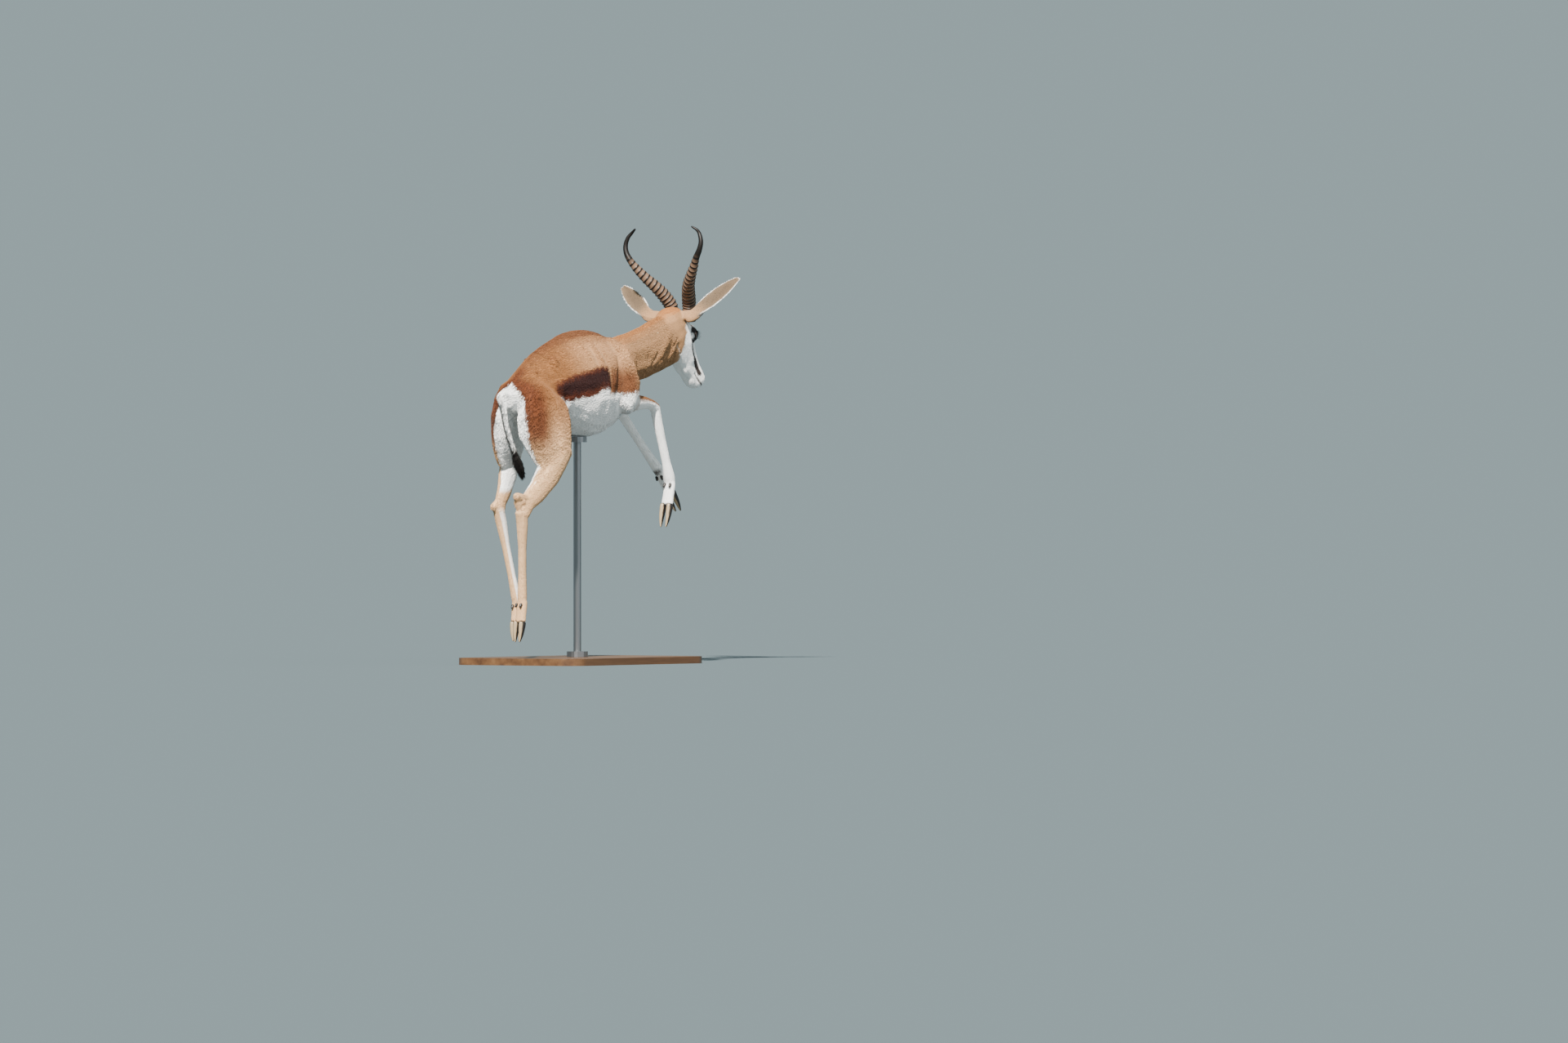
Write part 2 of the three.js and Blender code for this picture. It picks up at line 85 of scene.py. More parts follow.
def to_frame(points):
    return (np.asarray(points, float) + SHIFT) / 1000


def to_body(points):
    return np.asarray(points, float) * 1000 - SHIFT


FORWARD = np.array([math.cos(HEAD_PITCH), 0, -math.sin(HEAD_PITCH)])
CROWN = np.array([math.sin(HEAD_PITCH), 0, math.cos(HEAD_PITCH)])
CROWN = CROWN * math.cos(HEAD_ROLL) - np.cross(FORWARD, CROWN) * math.sin(HEAD_ROLL)
LEFT = np.cross(CROWN, FORWARD)
HEAD_AXES = np.array([FORWARD, CROWN, LEFT])


def on_head(forward, up, left):
    return HEAD_AT + np.array([forward, up, left], float) @ HEAD_AXES


def head_places(points):
    """How far each point lies forward on the head, up, and out from its middle."""
    forward, up, left = ((points - HEAD_AT) @ HEAD_AXES.T).T
    return forward, up, np.abs(left)


# Colours
def linear(code):
    parts = [int(code[i : i + 2], 16) / 255 for i in (1, 3, 5)]
    return np.array([c / 12.92 if c < 0.04045 else ((c + 0.055) / 1.055) ** 2.4 for c in parts])


FAWN = linear("#B88B62")
CINNAMON = linear("#84552D")
CHESTNUT = linear("#56280D")
RIDGE = linear("#653A1E")
NECK = linear("#9A7450")
NAPE = linear("#965F30")
STRIPE = linear("#2A0D05")
STRIPE_EDGE = linear("#542410")
SHOULDER_BROWN = linear("#683C20")
PEACH = linear("#CFA67B")
WHITE = linear("#F8F8F6")
BLACK = linear("#14100E")
EAR_BACK = linear("#665542")
EAR_MIDDLE = linear("#574838")
EAR_INSIDE = linear("#5A4A42")
NOSE = linear("#2A2220")
FETLOCK_DARK_AND_SHADE = linear("#3A2A22")
LEFT_FETLOCK = np.array([430.0, 2.0, 478.0])
# Half the width of the white rump against height, and the flank stripe's edges along the body.
RUMP_HALF_WIDTHS = (
    (470, 66), (518, 68), (547, 62), (589, 59), (642, 54),
    (681, 46), (706, 32), (722, 12), (730, -6), (745, -30),
)
STRIPE_TOP = ((-190, 722), (-154, 729), (-105, 745), (-68, 754), (-19, 764), (22, 774), (60, 768))
STRIPE_FOOT = (
    (-190, 708), (-147, 690), (-123, 674), (-105, 681),
    (-64, 686), (-20, 694), (19, 708), (60, 716),
)


# Small helpers for masks and meshes
def step(v, edge, width):
    t = np.clip((v - edge) / width + 0.5, 0, 1)
    return t * t * (3 - 2 * t)


def between(v, low, high, width):
    return step(v, low, width) * (1 - step(v, high, width))


def curve(v, *pairs):
    xs, ys = zip(*sorted(pairs))
    return np.interp(v, xs, ys)


def near_line(points, line):
    """Distance of each point to a line of straight pieces, and how far along it that is."""
    line = np.asarray(line, float)
    best = np.full(len(points), 1e9)
    along = np.zeros(len(points))
    for i in range(len(line) - 1):
        a, b = line[i], line[i + 1]
        t = np.clip((points - a) @ (b - a) / ((b - a) @ (b - a)), 0, 1)
        d = np.linalg.norm(points - a - t[:, None] * (b - a), axis=1)
        along = np.where(d < best, (i + t) / (len(line) - 1), along)
        best = np.minimum(best, d)
    return best, along


def wobble(p, size, seed=0.0):
    """A smooth, uneven value from -1 to 1 over the body, with bumps of that size in millimetres."""
    q = p / size
    return (
        np.sin(q[:, 0] * 2.1 + 1.7 * np.sin(q[:, 2] * 1.3 + seed) + seed)
        + np.sin(q[:, 2] * 2.7 + 1.3 * np.sin(q[:, 1] * 1.9 + 2 * seed))
        + np.sin(q[:, 1] * 2.3 + 1.9 * np.sin(q[:, 0] * 1.1 + 3 * seed))
    ) / 3


def read(items, name, size=1, kind=float):
    values = np.zeros(len(items) * size, kind)
    items.foreach_get(name, values)
    return values


def arrays(mesh):
    """The places and the normals of a mesh's points."""
    return [read(mesh.vertices, name, 3).reshape(-1, 3) for name in ("co", "normal")]


def edges_of(mesh):
    return read(mesh.edges, "vertices", 2, int).reshape(-1, 2)


def set_points(mesh, co):
    mesh.vertices.foreach_set("co", np.asarray(co, np.float32).ravel())
    mesh.update()


def averaged(values, edges, shares, rounds):
    """Each value moved towards the mean of its neighbours, as many times as rounds."""
    a, b = edges.T
    size = len(values)
    count = np.maximum(np.bincount(edges.ravel(), minlength=size), 1)
    shares = np.broadcast_to(shares, size)[:, None]
    for _ in range(rounds):
        columns = [np.bincount(a, v[b], size) + np.bincount(b, v[a], size) for v in values.T]
        total = np.stack(columns, 1)
        values = values + shares * (total / count[:, None] - values)
    return values


def new_piece(name, mesh, smooth=True):
    piece = bpy.data.objects.new(name, mesh)
    bpy.context.scene.collection.objects.link(piece)
    if smooth:
        mesh.shade_smooth()
    return piece


def mesh_from(name, verts, faces):
    mesh = bpy.data.meshes.new(name)
    mesh.from_pydata([tuple(v) for v in verts], [], [tuple(f) for f in faces])
    mesh.update()
    return mesh


def mesh_of(bm, name):
    """A new mesh from the bmesh, which is freed."""
    mesh = bpy.data.meshes.new(name)
    bm.to_mesh(mesh)
    bm.free()
    return mesh


def finished(piece, finish, slot, *replaced):
    """The piece with its material, and the CAD nodes it stands for hidden. The slot argument is not used.
    """
    piece.data.materials.append(finish)
    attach(piece, "root")
    if replaced:
        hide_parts(*replaced)


def with_modifiers(obj):
    """The object's mesh with its modifiers worked in."""
    graph = bpy.context.evaluated_depsgraph_get()
    mesh = bpy.data.meshes.new_from_object(obj.evaluated_get(graph))
    old = obj.data
    obj.modifiers.clear()
    obj.data = mesh
    bpy.data.meshes.remove(old)
    return mesh


def merged(names, grow=0.0):
    """Copies of CAD nodes with their split corners merged, in one bmesh."""
    whole = bmesh.new()
    for name in names:
        part = bmesh.new()
        part.from_mesh(nodes[name].data)
        bmesh.ops.remove_doubles(part, verts=part.verts, dist=MERGE)
        part.normal_update()
        for v in part.verts:
            v.co += v.normal * grow
        mesh = mesh_of(part, "part")
        whole.from_mesh(mesh)
        bpy.data.meshes.remove(mesh)
    return whole


def spline(points, count):
    """Points and tangents on a smooth line through the rows; a further column goes along with them."""
    p = np.asarray(points, float)
    p = np.vstack([2 * p[0] - p[1], p, 2 * p[-1] - p[-2]])
    length = np.concatenate([[0], np.cumsum(np.linalg.norm(np.diff(p[1:-1, :3], axis=0), axis=1))])
    s = np.linspace(0, length[-1], count)
    i = np.clip(np.searchsorted(length, s, side="right") - 1, 0, len(length) - 2)
    t = ((s - length[i]) / (length[i + 1] - length[i]))[:, None]
    a, b, c, d = p[i], p[i + 1], p[i + 2], p[i + 3]
    at = 0.5 * (2 * b + (c - a) * t + (2 * a - 5 * b + 4 * c - d) * t**2 + (3 * b - a - 3 * c + d) * t**3)
    tangent = unit(np.gradient(at[:, :3], axis=0))
    return at, tangent


def swept(name, path, tangent, radius, side, around):
    """A tube of rings round a path, with a radius for each ring and each angle, in millimetres."""
    turns = np.linspace(0, 2 * np.pi, around, endpoint=False)
    across = unit(np.cross(tangent, side))
    over = np.cross(across, tangent)
    rings = (
        path[:, None]
        + across[:, None] * (np.cos(turns)[None, :] * radius)[..., None]
        + over[:, None] * (np.sin(turns)[None, :] * radius)[..., None]
    )
    verts = to_frame(rings.reshape(-1, 3))
    n = len(path)
    faces = []
    for i in range(n - 1):
        for j in range(around):
            k = (j + 1) % around
            faces.append((i * around + j, (i + 1) * around + j, (i + 1) * around + k, i * around + k))
    faces.append(tuple(range(around)))
    faces.append(tuple((n - 1) * around + j for j in reversed(range(around))))
    mesh = mesh_from(name, verts, faces)
    bm = bmesh.new()
    bm.from_mesh(mesh)
    bmesh.ops.recalc_face_normals(bm, faces=bm.faces)
    bm.to_mesh(mesh)
    bm.free()
    return mesh


def paint(mesh, name, colours):
    attribute = mesh.attributes.new(name, "FLOAT_COLOR", "POINT")
    rgba = np.ones((len(mesh.vertices), 4), np.float32)
    rgba[:, :3] = colours
    attribute.data.foreach_set("color", rgba.ravel())


# The skin: the flesh nodes melted into one surface
REGIONS = {
    "trunk": ["trunk"],
    "neck": ["neck"],
    "head": ["head"],
    "ear": ["ear_left", "ear_right"],
    "tail": ["tail", "tail_tuft"],
}
HIND_PARTS = ["thigh", "shank", "cannon_hind", "pastern_hind"]
FORE_PARTS = ["shoulder", "forearm", "cannon_fore", "pastern_fore"]
for part in HIND_PARTS + FORE_PARTS:
    REGIONS[part] = [f"{part}_left", f"{part}_right"]
FLESH = [n for group in REGIONS.values() for n in group]


def added_ball(bm, centre, radii, axes=HEAD_AXES):
    """A soft swelling joined to the skin before it is melted together."""
    made = bmesh.ops.create_icosphere(bm, subdivisions=3, radius=1)
    c = to_frame(centre)
    for v in made["verts"]:
        v.co = Vector(c + (np.array(v.co) * np.array(radii) / 1000) @ axes)


def skin_source():
    thin = merged(["ear_left", "ear_right"], EAR_COVER)
    whole = merged([n for n in FLESH if not n.startswith("ear")], SEAM_COVER)
    whole.from_mesh(mesh_of(thin, "ears"))
    # The brow, the upper lip and the side of the nose.
    for side in (1, -1):
        added_ball(whole, on_head(20, -18, 40 * side), (15, 9, 8))
        added_ball(whole, on_head(163, -52, 12 * side), (21, 18, 16))
        added_ball(whole, on_head(182, -38, 9 * side), (8, 7, 8))
    # The chin and the rounded end of the nose.
    added_ball(whole, on_head(156, -70, 0), (22, 12, 17))
    added_ball(whole, on_head(182, -42, 0), (11, 13, 17))
    # The right heel bone, joined to the hock and the cannon.
    heel = unit((20, 0, -60))
    heel_axes = np.array([heel, np.cross(heel, (0, 1, 0)), (0, 1, 0)])
    added_ball(whole, (-331, -56, 395), (14, 11, 15))
    added_ball(whole, (-343, -54, 387), (31, 10, 11), heel_axes)
    # Each ear's fleshy root.
    for bend, reach, opening in EARS.values():
        axes = np.array([unit(reach), unit(np.cross(opening, reach)), unit(opening)])
        added_ball(whole, np.array(bend) + 0.03 * np.array(reach), (32, 19, 12), axes)
    return mesh_of(whole, "skin")


skin = new_piece("skin", skin_source())
melt = skin.modifiers.new("melt", "REMESH")
melt.mode = "VOXEL"
melt.voxel_size = VOXEL
melt.adaptivity = 0
mesh = with_modifiers(skin)


def owners():
    """For a set of points in the row frame, the number of the flesh node that each lies on."""
    verts, faces, owner = [], [], []
    for i, name in enumerate(FLESH):
        data = nodes[name].data
        base = len(verts)
        verts += [v.co.copy() for v in data.vertices]
        faces += [[base + k for k in p.vertices] for p in data.polygons]
        owner += [i] * len(data.polygons)
    tree = BVHTree.FromPolygons(verts, faces)
    return lambda points: np.array([owner[tree.find_nearest(Vector(p))[2]] for p in points])


owner_of = owners()
region_names = list(REGIONS)
region_of_node = np.array([next(i for i, r in enumerate(region_names) if n in REGIONS[r]) for n in FLESH])


def weights_on(mesh, rounds):
    """How much each point belongs to each region, softened over the borders."""
    co, _ = arrays(mesh)
    node = owner_of(co)
    region = region_of_node[node]
    w = np.zeros((len(co), len(region_names)))
    w[np.arange(len(co)), region] = 1
    return node, averaged(w, edges_of(mesh), 0.7, rounds)


def split(weights):
    return {r: weights[:, i] for i, r in enumerate(region_names)}


node_id, weights = weights_on(mesh, 14)
w = split(weights)
co, normal = arrays(mesh)
edges = edges_of(mesh)

# Joints between parts are eased where two regions meet; thin parts keep their size.
mixed = 1 - np.max(weights, axis=1)
big = w["trunk"] + w["thigh"] + w["shoulder"] + w["neck"]
ease = np.clip(0.15 + 2.2 * mixed, 0, 0.8) * np.clip(0.35 + big, 0, 1)
ease = ease * (1 - w["ear"]) * (1 - 0.7 * w["head"])
co = averaged(co, edges, ease, 26)
co = averaged(co, edges, 0.5 * (1 - w["ear"]) * np.clip(0.3 + big, 0.3, 1), 3)
set_points(mesh, co)
co, normal = arrays(mesh)

# Muscles, bones and folds, as strokes that raise or sink the skin
BOTH = "both"
STROKE_STRENGTH = 1.7
STROKES = [
    # side, radius, height, line
    (BOTH, 15, 2.2, [(120, 92, 690), (150, 84, 760), (172, 66, 835)]),
    (BOTH, 12, -2.0, [(95, 95, 700), (112, 88, 760), (140, 70, 830)]),
    (BOTH, 9, -4.2, [(205, 84, 745), (196, 76, 800), (182, 58, 850)]),
    (BOTH, 9, -1.5, [(62, 97, 700), (60, 97, 760), (40, 88, 810)]),
    (BOTH, 9, 1.4, [(30, 94, 790), (12, 78, 840)]),
    (BOTH, 8, -1.2, [(8, 94, 780), (-8, 78, 838)]),
    (BOTH, 8, 1.1, [(-16, 92, 776), (-30, 76, 832)]),
    (BOTH, 14, 3.2, [(-150, 52, 796), (-165, 60, 780)]),
    (BOTH, 20, -3.0, [(-128, 80, 700), (-140, 82, 640), (-150, 80, 600)]),
    (BOTH, 14, 2.6, [(-118, 78, 690), (-112, 74, 640)]),
    (BOTH, 12, -1.8, [(-262, 72, 690), (-262, 80, 620), (-250, 84, 560)]),
    (BOTH, 14, 1.8, [(-215, 82, 690), (-200, 88, 600), (-190, 86, 540)]),
    (BOTH, 10, -1.6, [(-205, 70, 740), (-150, 70, 740)]),
    ("right", 9, -2.6, [(-232, -86, 500), (-290, -70, 455), (-330, -60, 428)]),
    ("left", 9, -2.6, [(-222, 88, 500), (-262, 72, 440), (-285, 60, 402)]),
    (BOTH, 14, 2.4, [(430, 44, 868), (400, 46, 830), (380, 44, 800)]),
    (BOTH, 7, -1.6, [(452, 44, 840), (428, 44, 812), (400, 40, 786)]),
    (BOTH, 7, -1.8, [(470, 42, 832), (456, 42, 806), (430, 38, 776)]),
    (BOTH, 9, 1.6, [(462, 44, 850), (440, 46, 822)]),
    (BOTH, 7, -1.3, [(372, 47, 816), (350, 46, 790), (330, 45, 765)]),
    (BOTH, 7, -1.3, [(438, 45, 838), (385, 44, 790), (345, 40, 757)]),
    (BOTH, 5, -1.6, [(464, 48, 852), (445, 46, 828)]),
    (BOTH, 7, 1.4, [(410, 47, 800), (365, 44, 772)]),
    (BOTH, 16, -2.0, [(250, 62, 790), (330, 52, 800)]),
]


def snapped(tree, line):
    return np.array([to_body(tree.find_nearest(Vector(to_frame(p)))[0]) for p in line])


skin_tree = BVHTree.FromPolygons([Vector(c) for c in co], [p.vertices[:] for p in mesh.polygons])
body = to_body(co)
rise = np.zeros(len(co))
for side, radius, height, line in STROKES:
    for s in (1, -1):
        if side == BOTH or (side == "left") == (s > 0):
            where = [(x, abs(y) * s, z) for x, y, z in line]
            d, along = near_line(body, snapped(skin_tree, where))
            ends = np.clip(6 * np.minimum(along + 0.08, 1.08 - along), 0.2, 1)
            rise += STROKE_STRENGTH * height * np.exp(-((d / radius) ** 2)) * ends

hf, hd, ha = head_places(body)
face = w["head"]
HEAD_STROKES = [
    # radius, height, line in head axes: forward, up, out from the middle
    (7, -2.6, [(52, -38, 40), (70, -42, 36), (92, -44, 32)]),
    (9, 2.0, [(40, -58, 46), (70, -60, 40), (96, -62, 33)]),
    (10, 1.8, [(0, -78, 45), (30, -92, 34), (80, -88, 18)]),
    (4.5, -2.2, [(186, -58, 16), (172, -63, 22), (152, -66, 25), (140, -66, 26)]),
    (3.2, -3.4, [(190, -38, 10), (184, -36, 15), (178, -38, 18)]),
    (5, 1.5, [(186, -30, 12), (176, -30, 19)]),
    (3, -1.6, [(196, -40, 0), (194, -52, 0)]),
    (12, 1.6, [(60, -14, 0), (100, -16, 0), (150, -22, 0)]),
    (15, 4.0, [(118, -88, 12), (148, -78, 12), (172, -70, 8)]),
    (11, -2.4, [(112, -58, 30), (136, -54, 27)]),
    (8, 2.2, [(16, -26, 44), (34, -16, 42), (52, -22, 36)]),
    (12, 2.0, [(150, -46, 28), (176, -44, 27)]),
]
for radius, height, line in HEAD_STROKES:
    d, along = near_line(np.stack([hf, hd, ha], 1), np.array(line, float))
    rise += height * np.exp(-((d / radius) ** 2)) * face

# A ripple over the belly's coat, and a fine unevenness over the broad parts and the neck.
belly_side = w["trunk"] * step(-body[:, 2], -700, 40)
rise += belly_side * 1.0 * wobble(body, 26, 1.0)
rise += 0.5 * wobble(body, 42, 2.0) * big
rise += w["neck"] * 0.7 * wobble(body * np.array([1, 1, 0.5]), 22, 4.0)

COAT_DEPTH = (
    0.2
    + 2.4 * (w["trunk"] + w["neck"])
    + 2.2 * (w["thigh"] + w["shoulder"])
    + 0.9 * (w["shank"] + w["forearm"])
    + 0.7 * (w["cannon_hind"] + w["cannon_fore"] + w["head"])
    + 0.5 * (w["pastern_hind"] + w["pastern_fore"])
    + 0.8 * w["tail"]
)
co = co + normal * ((rise - COAT_DEPTH) / 1000)[:, None]
set_points(mesh, co)

# Fewer triangles on the broad parts; the head, ears and feet keep theirs.
keep = np.clip(w["head"] + w["ear"] + 0.6 * (w["pastern_hind"] + w["pastern_fore"]), 0, 1)
group = skin.vertex_groups.new(name="broad")
levels = np.round((1 - keep) * 10).astype(int)
for level in range(1, 11):
    group.add([int(i) for i in np.nonzero(levels == level)[0]], level / 10, "REPLACE")
fewer = skin.modifiers.new("fewer", "DECIMATE")
fewer.ratio = min(1.0, SKIN_TRIANGLES / (2 * len(mesh.polygons)))
fewer.vertex_group = "broad"
mesh = with_modifiers(skin)
skin.vertex_groups.clear()
bm = bmesh.new()
bm.from_mesh(mesh)
bmesh.ops.triangulate(bm, faces=bm.faces)
bm.to_mesh(mesh)
bm.free()
mesh.shade_smooth()

# Which way the hair lies
node_id, weights = weights_on(mesh, 8)
w = split(weights)
co, normal = arrays(mesh)
body = to_body(co)
edges = edges_of(mesh)
LIE = {
    "trunk": (-1, 0, -0.28),
    "neck": (-0.9, 0, -0.35),
    "head": tuple(-FORWARD),
    "tail": (-0.1, 0, -1),
    "thigh": (-0.55, 0, -0.85),
    "cannon_hind": (0.15, 0, -1),
    "pastern_hind": (-0.1, 0, -1),
    "shoulder": (-0.45, 0, -0.9),
}
LIE_SIDED = {
    "ear": {side: EARS[side][1] for side in EARS},
    "shank": {"left": (-0.62, -0.1, -0.78), "right": (-0.8, 0.1, -0.6)},
    "forearm": {"left": (0.98, -0.15, -0.1), "right": (1.0, 0.08, -0.05)},
    "cannon_fore": {"left": (0.6, -0.2, -0.8), "right": (0.3, 0, -1)},
    "pastern_fore": {"left": (0.53, -0.15, -0.85), "right": (-0.23, 0, -1)},
}
lie = np.zeros((len(co), 3))
for i, r in enumerate(region_names):
    if r in LIE:
        lie += weights[:, i : i + 1] * unit(LIE[r])
    else:
        side_of = np.where(body[:, 1:2] > -2, 1.0, 0.0)
        both = side_of * unit(LIE_SIDED[r]["left"]) + (1 - side_of) * unit(LIE_SIDED[r]["right"])
        lie += weights[:, i : i + 1] * both
lie = averaged(lie, edges, 0.8, 12)
lie = unit(lie - (lie * normal).sum(1, keepdims=True) * normal)

# The markings, as colours from a point's place, its facing and its region


def coat_colour(p, n, weights):
    w = split(weights)
    x, y, z = p.T
    a = np.abs(y)
    s = np.sign(y)
    hf, hd, ha = head_places(p)
    rough = 3.2 * wobble(p, 9, 0.6) + 2.0 * wobble(p, 3.5, 1.9)
    c = np.empty((len(p), 3))
    c[:] = FAWN

    def mix(colour, mask):
        c[:] += np.clip(mask, 0, 1)[:, None] * (colour - c)

    torso = w["trunk"] + w["thigh"] + w["shoulder"] + w["neck"]
    f = np.clip(3.5 * w["head"] - 0.4, 0, 1)
    # Richer over the loins and haunches, paler on the ribs.
    mix(CINNAMON, torso * step(-x, 60, 150) * 0.95)
    mix(CINNAMON, (w["trunk"] + w["shoulder"]) * step(z, 850, 60) * 0.7)
    mix(RIDGE, w["trunk"] * step(n[:, 2], 0.76, 0.34) * step(z, 750, 40) * 0.9)
    mix(NECK, w["neck"] * step(x, 215, 90))
    mix(NAPE, w["neck"] * step(n[:, 2], 0.72, 0.5) * 0.85)
    mix(FAWN, w["thigh"] * step(-z, -650, 130) * 0.8)
    mix(PEACH, (w["thigh"] + w["trunk"]) * step(-z, -585, 120) * step(-x, 60, 60))
    mix(PEACH, w["shank"] + w["cannon_hind"] + w["pastern_hind"])
    mix(WHITE, w["forearm"] + w["cannon_fore"] + w["pastern_fore"] + w["tail"])
    # Brown of the lower shoulder, fading upwards.
    low_shoulder = w["shoulder"] + w["trunk"] * step(x, 66, 10)
    low_shoulder = low_shoulder * (1 - step(z + rough, 772, 60)) * (1 - step(x, 196, 60)) * step(x, 60, 20)
    mix(SHOULDER_BROWN, low_shoulder * 0.95)
    # The white rump with its chestnut border.
    hips = w["trunk"] + w["thigh"] + w["tail"]
    rear = step(-x, 205, 30) * (hips + w["shank"])
    out = a + rough * 0.8 - curve(z, *RUMP_HALF_WIDTHS) + 12 * (y > 0)
    border = hips * step(-x, 236, 56) * step(z, 540, 110) * (1 - step(z, 775, 40))
    mix(CHESTNUT, border * (1 - step(out, 50, 50)) * 0.95)
    # Painted shade: on the left side only, the border darkens to near black at its edge.
    mix(BLACK, border * (y > 0) * (1 - step(out, 12, 30)) * 0.6)
    backwards = step(-n[:, 0] + 0.9 * (a < 40), 0.1, 0.3)
    mix(WHITE, rear * (1 - step(out, 0, 5)) * backwards * between(z, 500, 760, 40))
    # The inside and the rear edge of the hind legs.
    hind = w["thigh"] * (1 - step(z, 600, 40)) + w["shank"]
    facing = -0.78 * n[:, 0] - 0.62 * s * n[:, 1]
    inner = -s * n[:, 1]
    mix(WHITE, hind * step(facing + 0.03 * rough, 0.52, 0.22) * step(z, 424, 16))
    mix(WHITE, w["shank"] * step(inner, 0.6, 0.3) * step(z, 430, 16))
    mix(WHITE, w["thigh"] * step(inner, 0.4, 0.3) * step(-z, -690, 20))
    mix(WHITE, (w["cannon_hind"] + w["pastern_hind"]) * step(inner, 0.8, 0.2) * 0.8)
    # The dark flank stripe.
    top = curve(x, *STRIPE_TOP)
    low = curve(x, *STRIPE_FOOT)
    lateral = step(a, 52, 14) * w["trunk"]
    behind = step(x, -176, 24)
    stripe = lateral * behind * (1 - step(x + 0.3 * (z - 735) + rough, 62, 20))
    # White below the stripe, on the belly and on the elbow.
    below = 1 - step(z + rough, np.where(x > 60, 699, low), 8)
    mix(WHITE, w["trunk"] * below * step(x, -150, 30) * (1 - step(x, 225, 30)))
    under = w["trunk"] * step(-z, -672, 20) * step(-n[:, 2], 0.2, 0.3)
    mix(WHITE, under * step(x, -260, 40) * (1 - step(x, 225, 30)))
    mix(WHITE, w["shoulder"] * (1 - step(z + rough - 0.12 * (x - 100), 694, 8)))
    mix(STRIPE_EDGE, stripe * step(z + rough * 1.5, low - 2, 8) * (1 - step(z + rough * 1.3, top + 4, 16)))
    mix(STRIPE, stripe * step(z + rough * 1.6, low + 14, 22) * (1 - step(z + rough * 1.4, top - 6, 16)))
    # The forelegs: brown top of the forearm, a tan line down the front.
    upper = w["forearm"] * step(n[:, 2] + 0.25 * n[:, 0], 0.3, 0.3)
    mix(CINNAMON, upper * (1 - step(inner, 0.5, 0.3)) * step(x, 180, 60))
    mix(PEACH, w["cannon_fore"] * step(n[:, 0] + 0.25 * n[:, 1] * s, 0.82, 0.16) * 0.9)
    # A dark patch round the left fore fetlock only: its dark dewclaw hair, together with painted shade, as
    # that leg lies in the body's shadow.
    from_fetlock = np.linalg.norm(p - LEFT_FETLOCK, axis=1)
    fetlock = (w["cannon_fore"] + w["pastern_fore"]) * (1 - step(from_fetlock, 13, 8))
    mix(FETLOCK_DARK_AND_SHADE, fetlock * (y > -20))
    mix(PEACH, w["pastern_fore"] * step(n[:, 0], 0.5, 0.4) * 0.6)
    # The tail: white, with painted shade as a dark line down its left edge, and black towards its end.
    mix(BLACK, w["tail"] * step(0.83 * n[:, 1] - 0.56 * n[:, 0], 0.72, 0.2) * (z < 700))
    mix(BLACK, w["tail"] * (1 - step(z + rough, 545, 18)))
    # The head: fawn crown and cheek, white face, dark line from eye to mouth, dark nose.
    ahead = step(hf + 0.25 * (hd + 60) + rough * 0.6, 2, 7)
    mix(FAWN * 0.5 + CINNAMON * 0.5, f * (1 - ahead))
    mix(WHITE, f * ahead)
    cheek = hd - curve(hf, (-20, -35), (-7, -44), (14, -76), (52, -99), (90, -104))
    mix(NECK, f * (1 - step(cheek + rough * 0.7, 0, 8)) * (1 - step(hf, 84, 12)))
    mix(NAPE, f * step(hd, -30, 16) * (1 - step(hf + rough, 30, 14)) * (1 - step(ha, 34, 12)) * 0.9)
    mix(NAPE, f * step(n[:, 2], 0.62, 0.6) * (1 - step(hf, 8, 14)))
    from_ear = np.hypot(hf + 4, hd + 42)
    mix(WHITE, f * (1 - step(from_ear, 14, 12)) * step(ha, 40, 8) * 0.8)
    d, along = near_line(np.stack([hf, hd], 1), [(34, -46), (60, -51), (94, -52), (124, -51), (150, -53)])
    mix(NOSE, f * (ha > 12) * (1 - step(d + rough * 0.35, 6.5 + along, 3)))
    eye_along = (hf - EYE_AT[0]) * 0.97 - (hd - EYE_AT[1]) * 0.24
    eye_across = (hd - EYE_AT[1]) * 0.97 + (hf - EYE_AT[0]) * 0.24
    mix(NOSE, f * (ha > 22) * (1 - step(np.hypot(eye_along / 25, eye_across / 15), 1, 0.2)))
    mix(NOSE, f * step(hf, 180, 4) * between(hd + 0.3 * ha, -49, -27, 5) * (1 - step(ha, 18, 4)))
    d, _ = near_line(np.stack([hf, hd], 1), [(188, -56), (172, -62), (150, -66), (140, -66)])
    mix(NOSE, f * (1 - step(d, 1.8, 1.6)) * (hf > 120))
    # The ears: grey-tan backs, pale rims, dark inside with pale hair.
    for side, (bend, reach, opening) in EARS.items():
        leaf = np.clip(2.5 * w["ear"] - 0.3, 0, 1) * ((y > 0) == (side == "left"))
        across = unit(np.cross(opening, reach))
        r = p - np.array(bend, float)
        share = r @ np.array(reach, float) / np.dot(reach, reach)
        out = (r @ across) / curve(share, *EAR_HALF_WIDTHS)
        inside = step(n @ unit(opening), 0.1, 0.2)
        mix(EAR_BACK, leaf)
        mix(FAWN, leaf * (1 - step(share, 0.12, 0.4)) * 0.6)
        mix(EAR_MIDDLE, leaf * between(share, 0.3, 0.85, 0.3) * (1 - step(np.abs(out), 0.5, 0.6)) * 0.8)
        mix(EAR_INSIDE, leaf * inside)
        mix(WHITE, leaf * inside * step(np.cos(out * 11), 0.35, 0.6) * step(share, 0.1, 0.2) * 0.75)
        mix(WHITE, leaf * step(np.abs(out) + 0.01 * rough, 0.9, 0.12) * step(share, 0.15, 0.3))
        mix(WHITE, leaf * step(share, 0.99, 0.05))
    return np.clip(c, 0.003, 0.95)


paint(mesh, "coat", coat_colour(body, normal, weights))

# An unwrap of the skin's own shape: each part seen from six sides, packed in rows


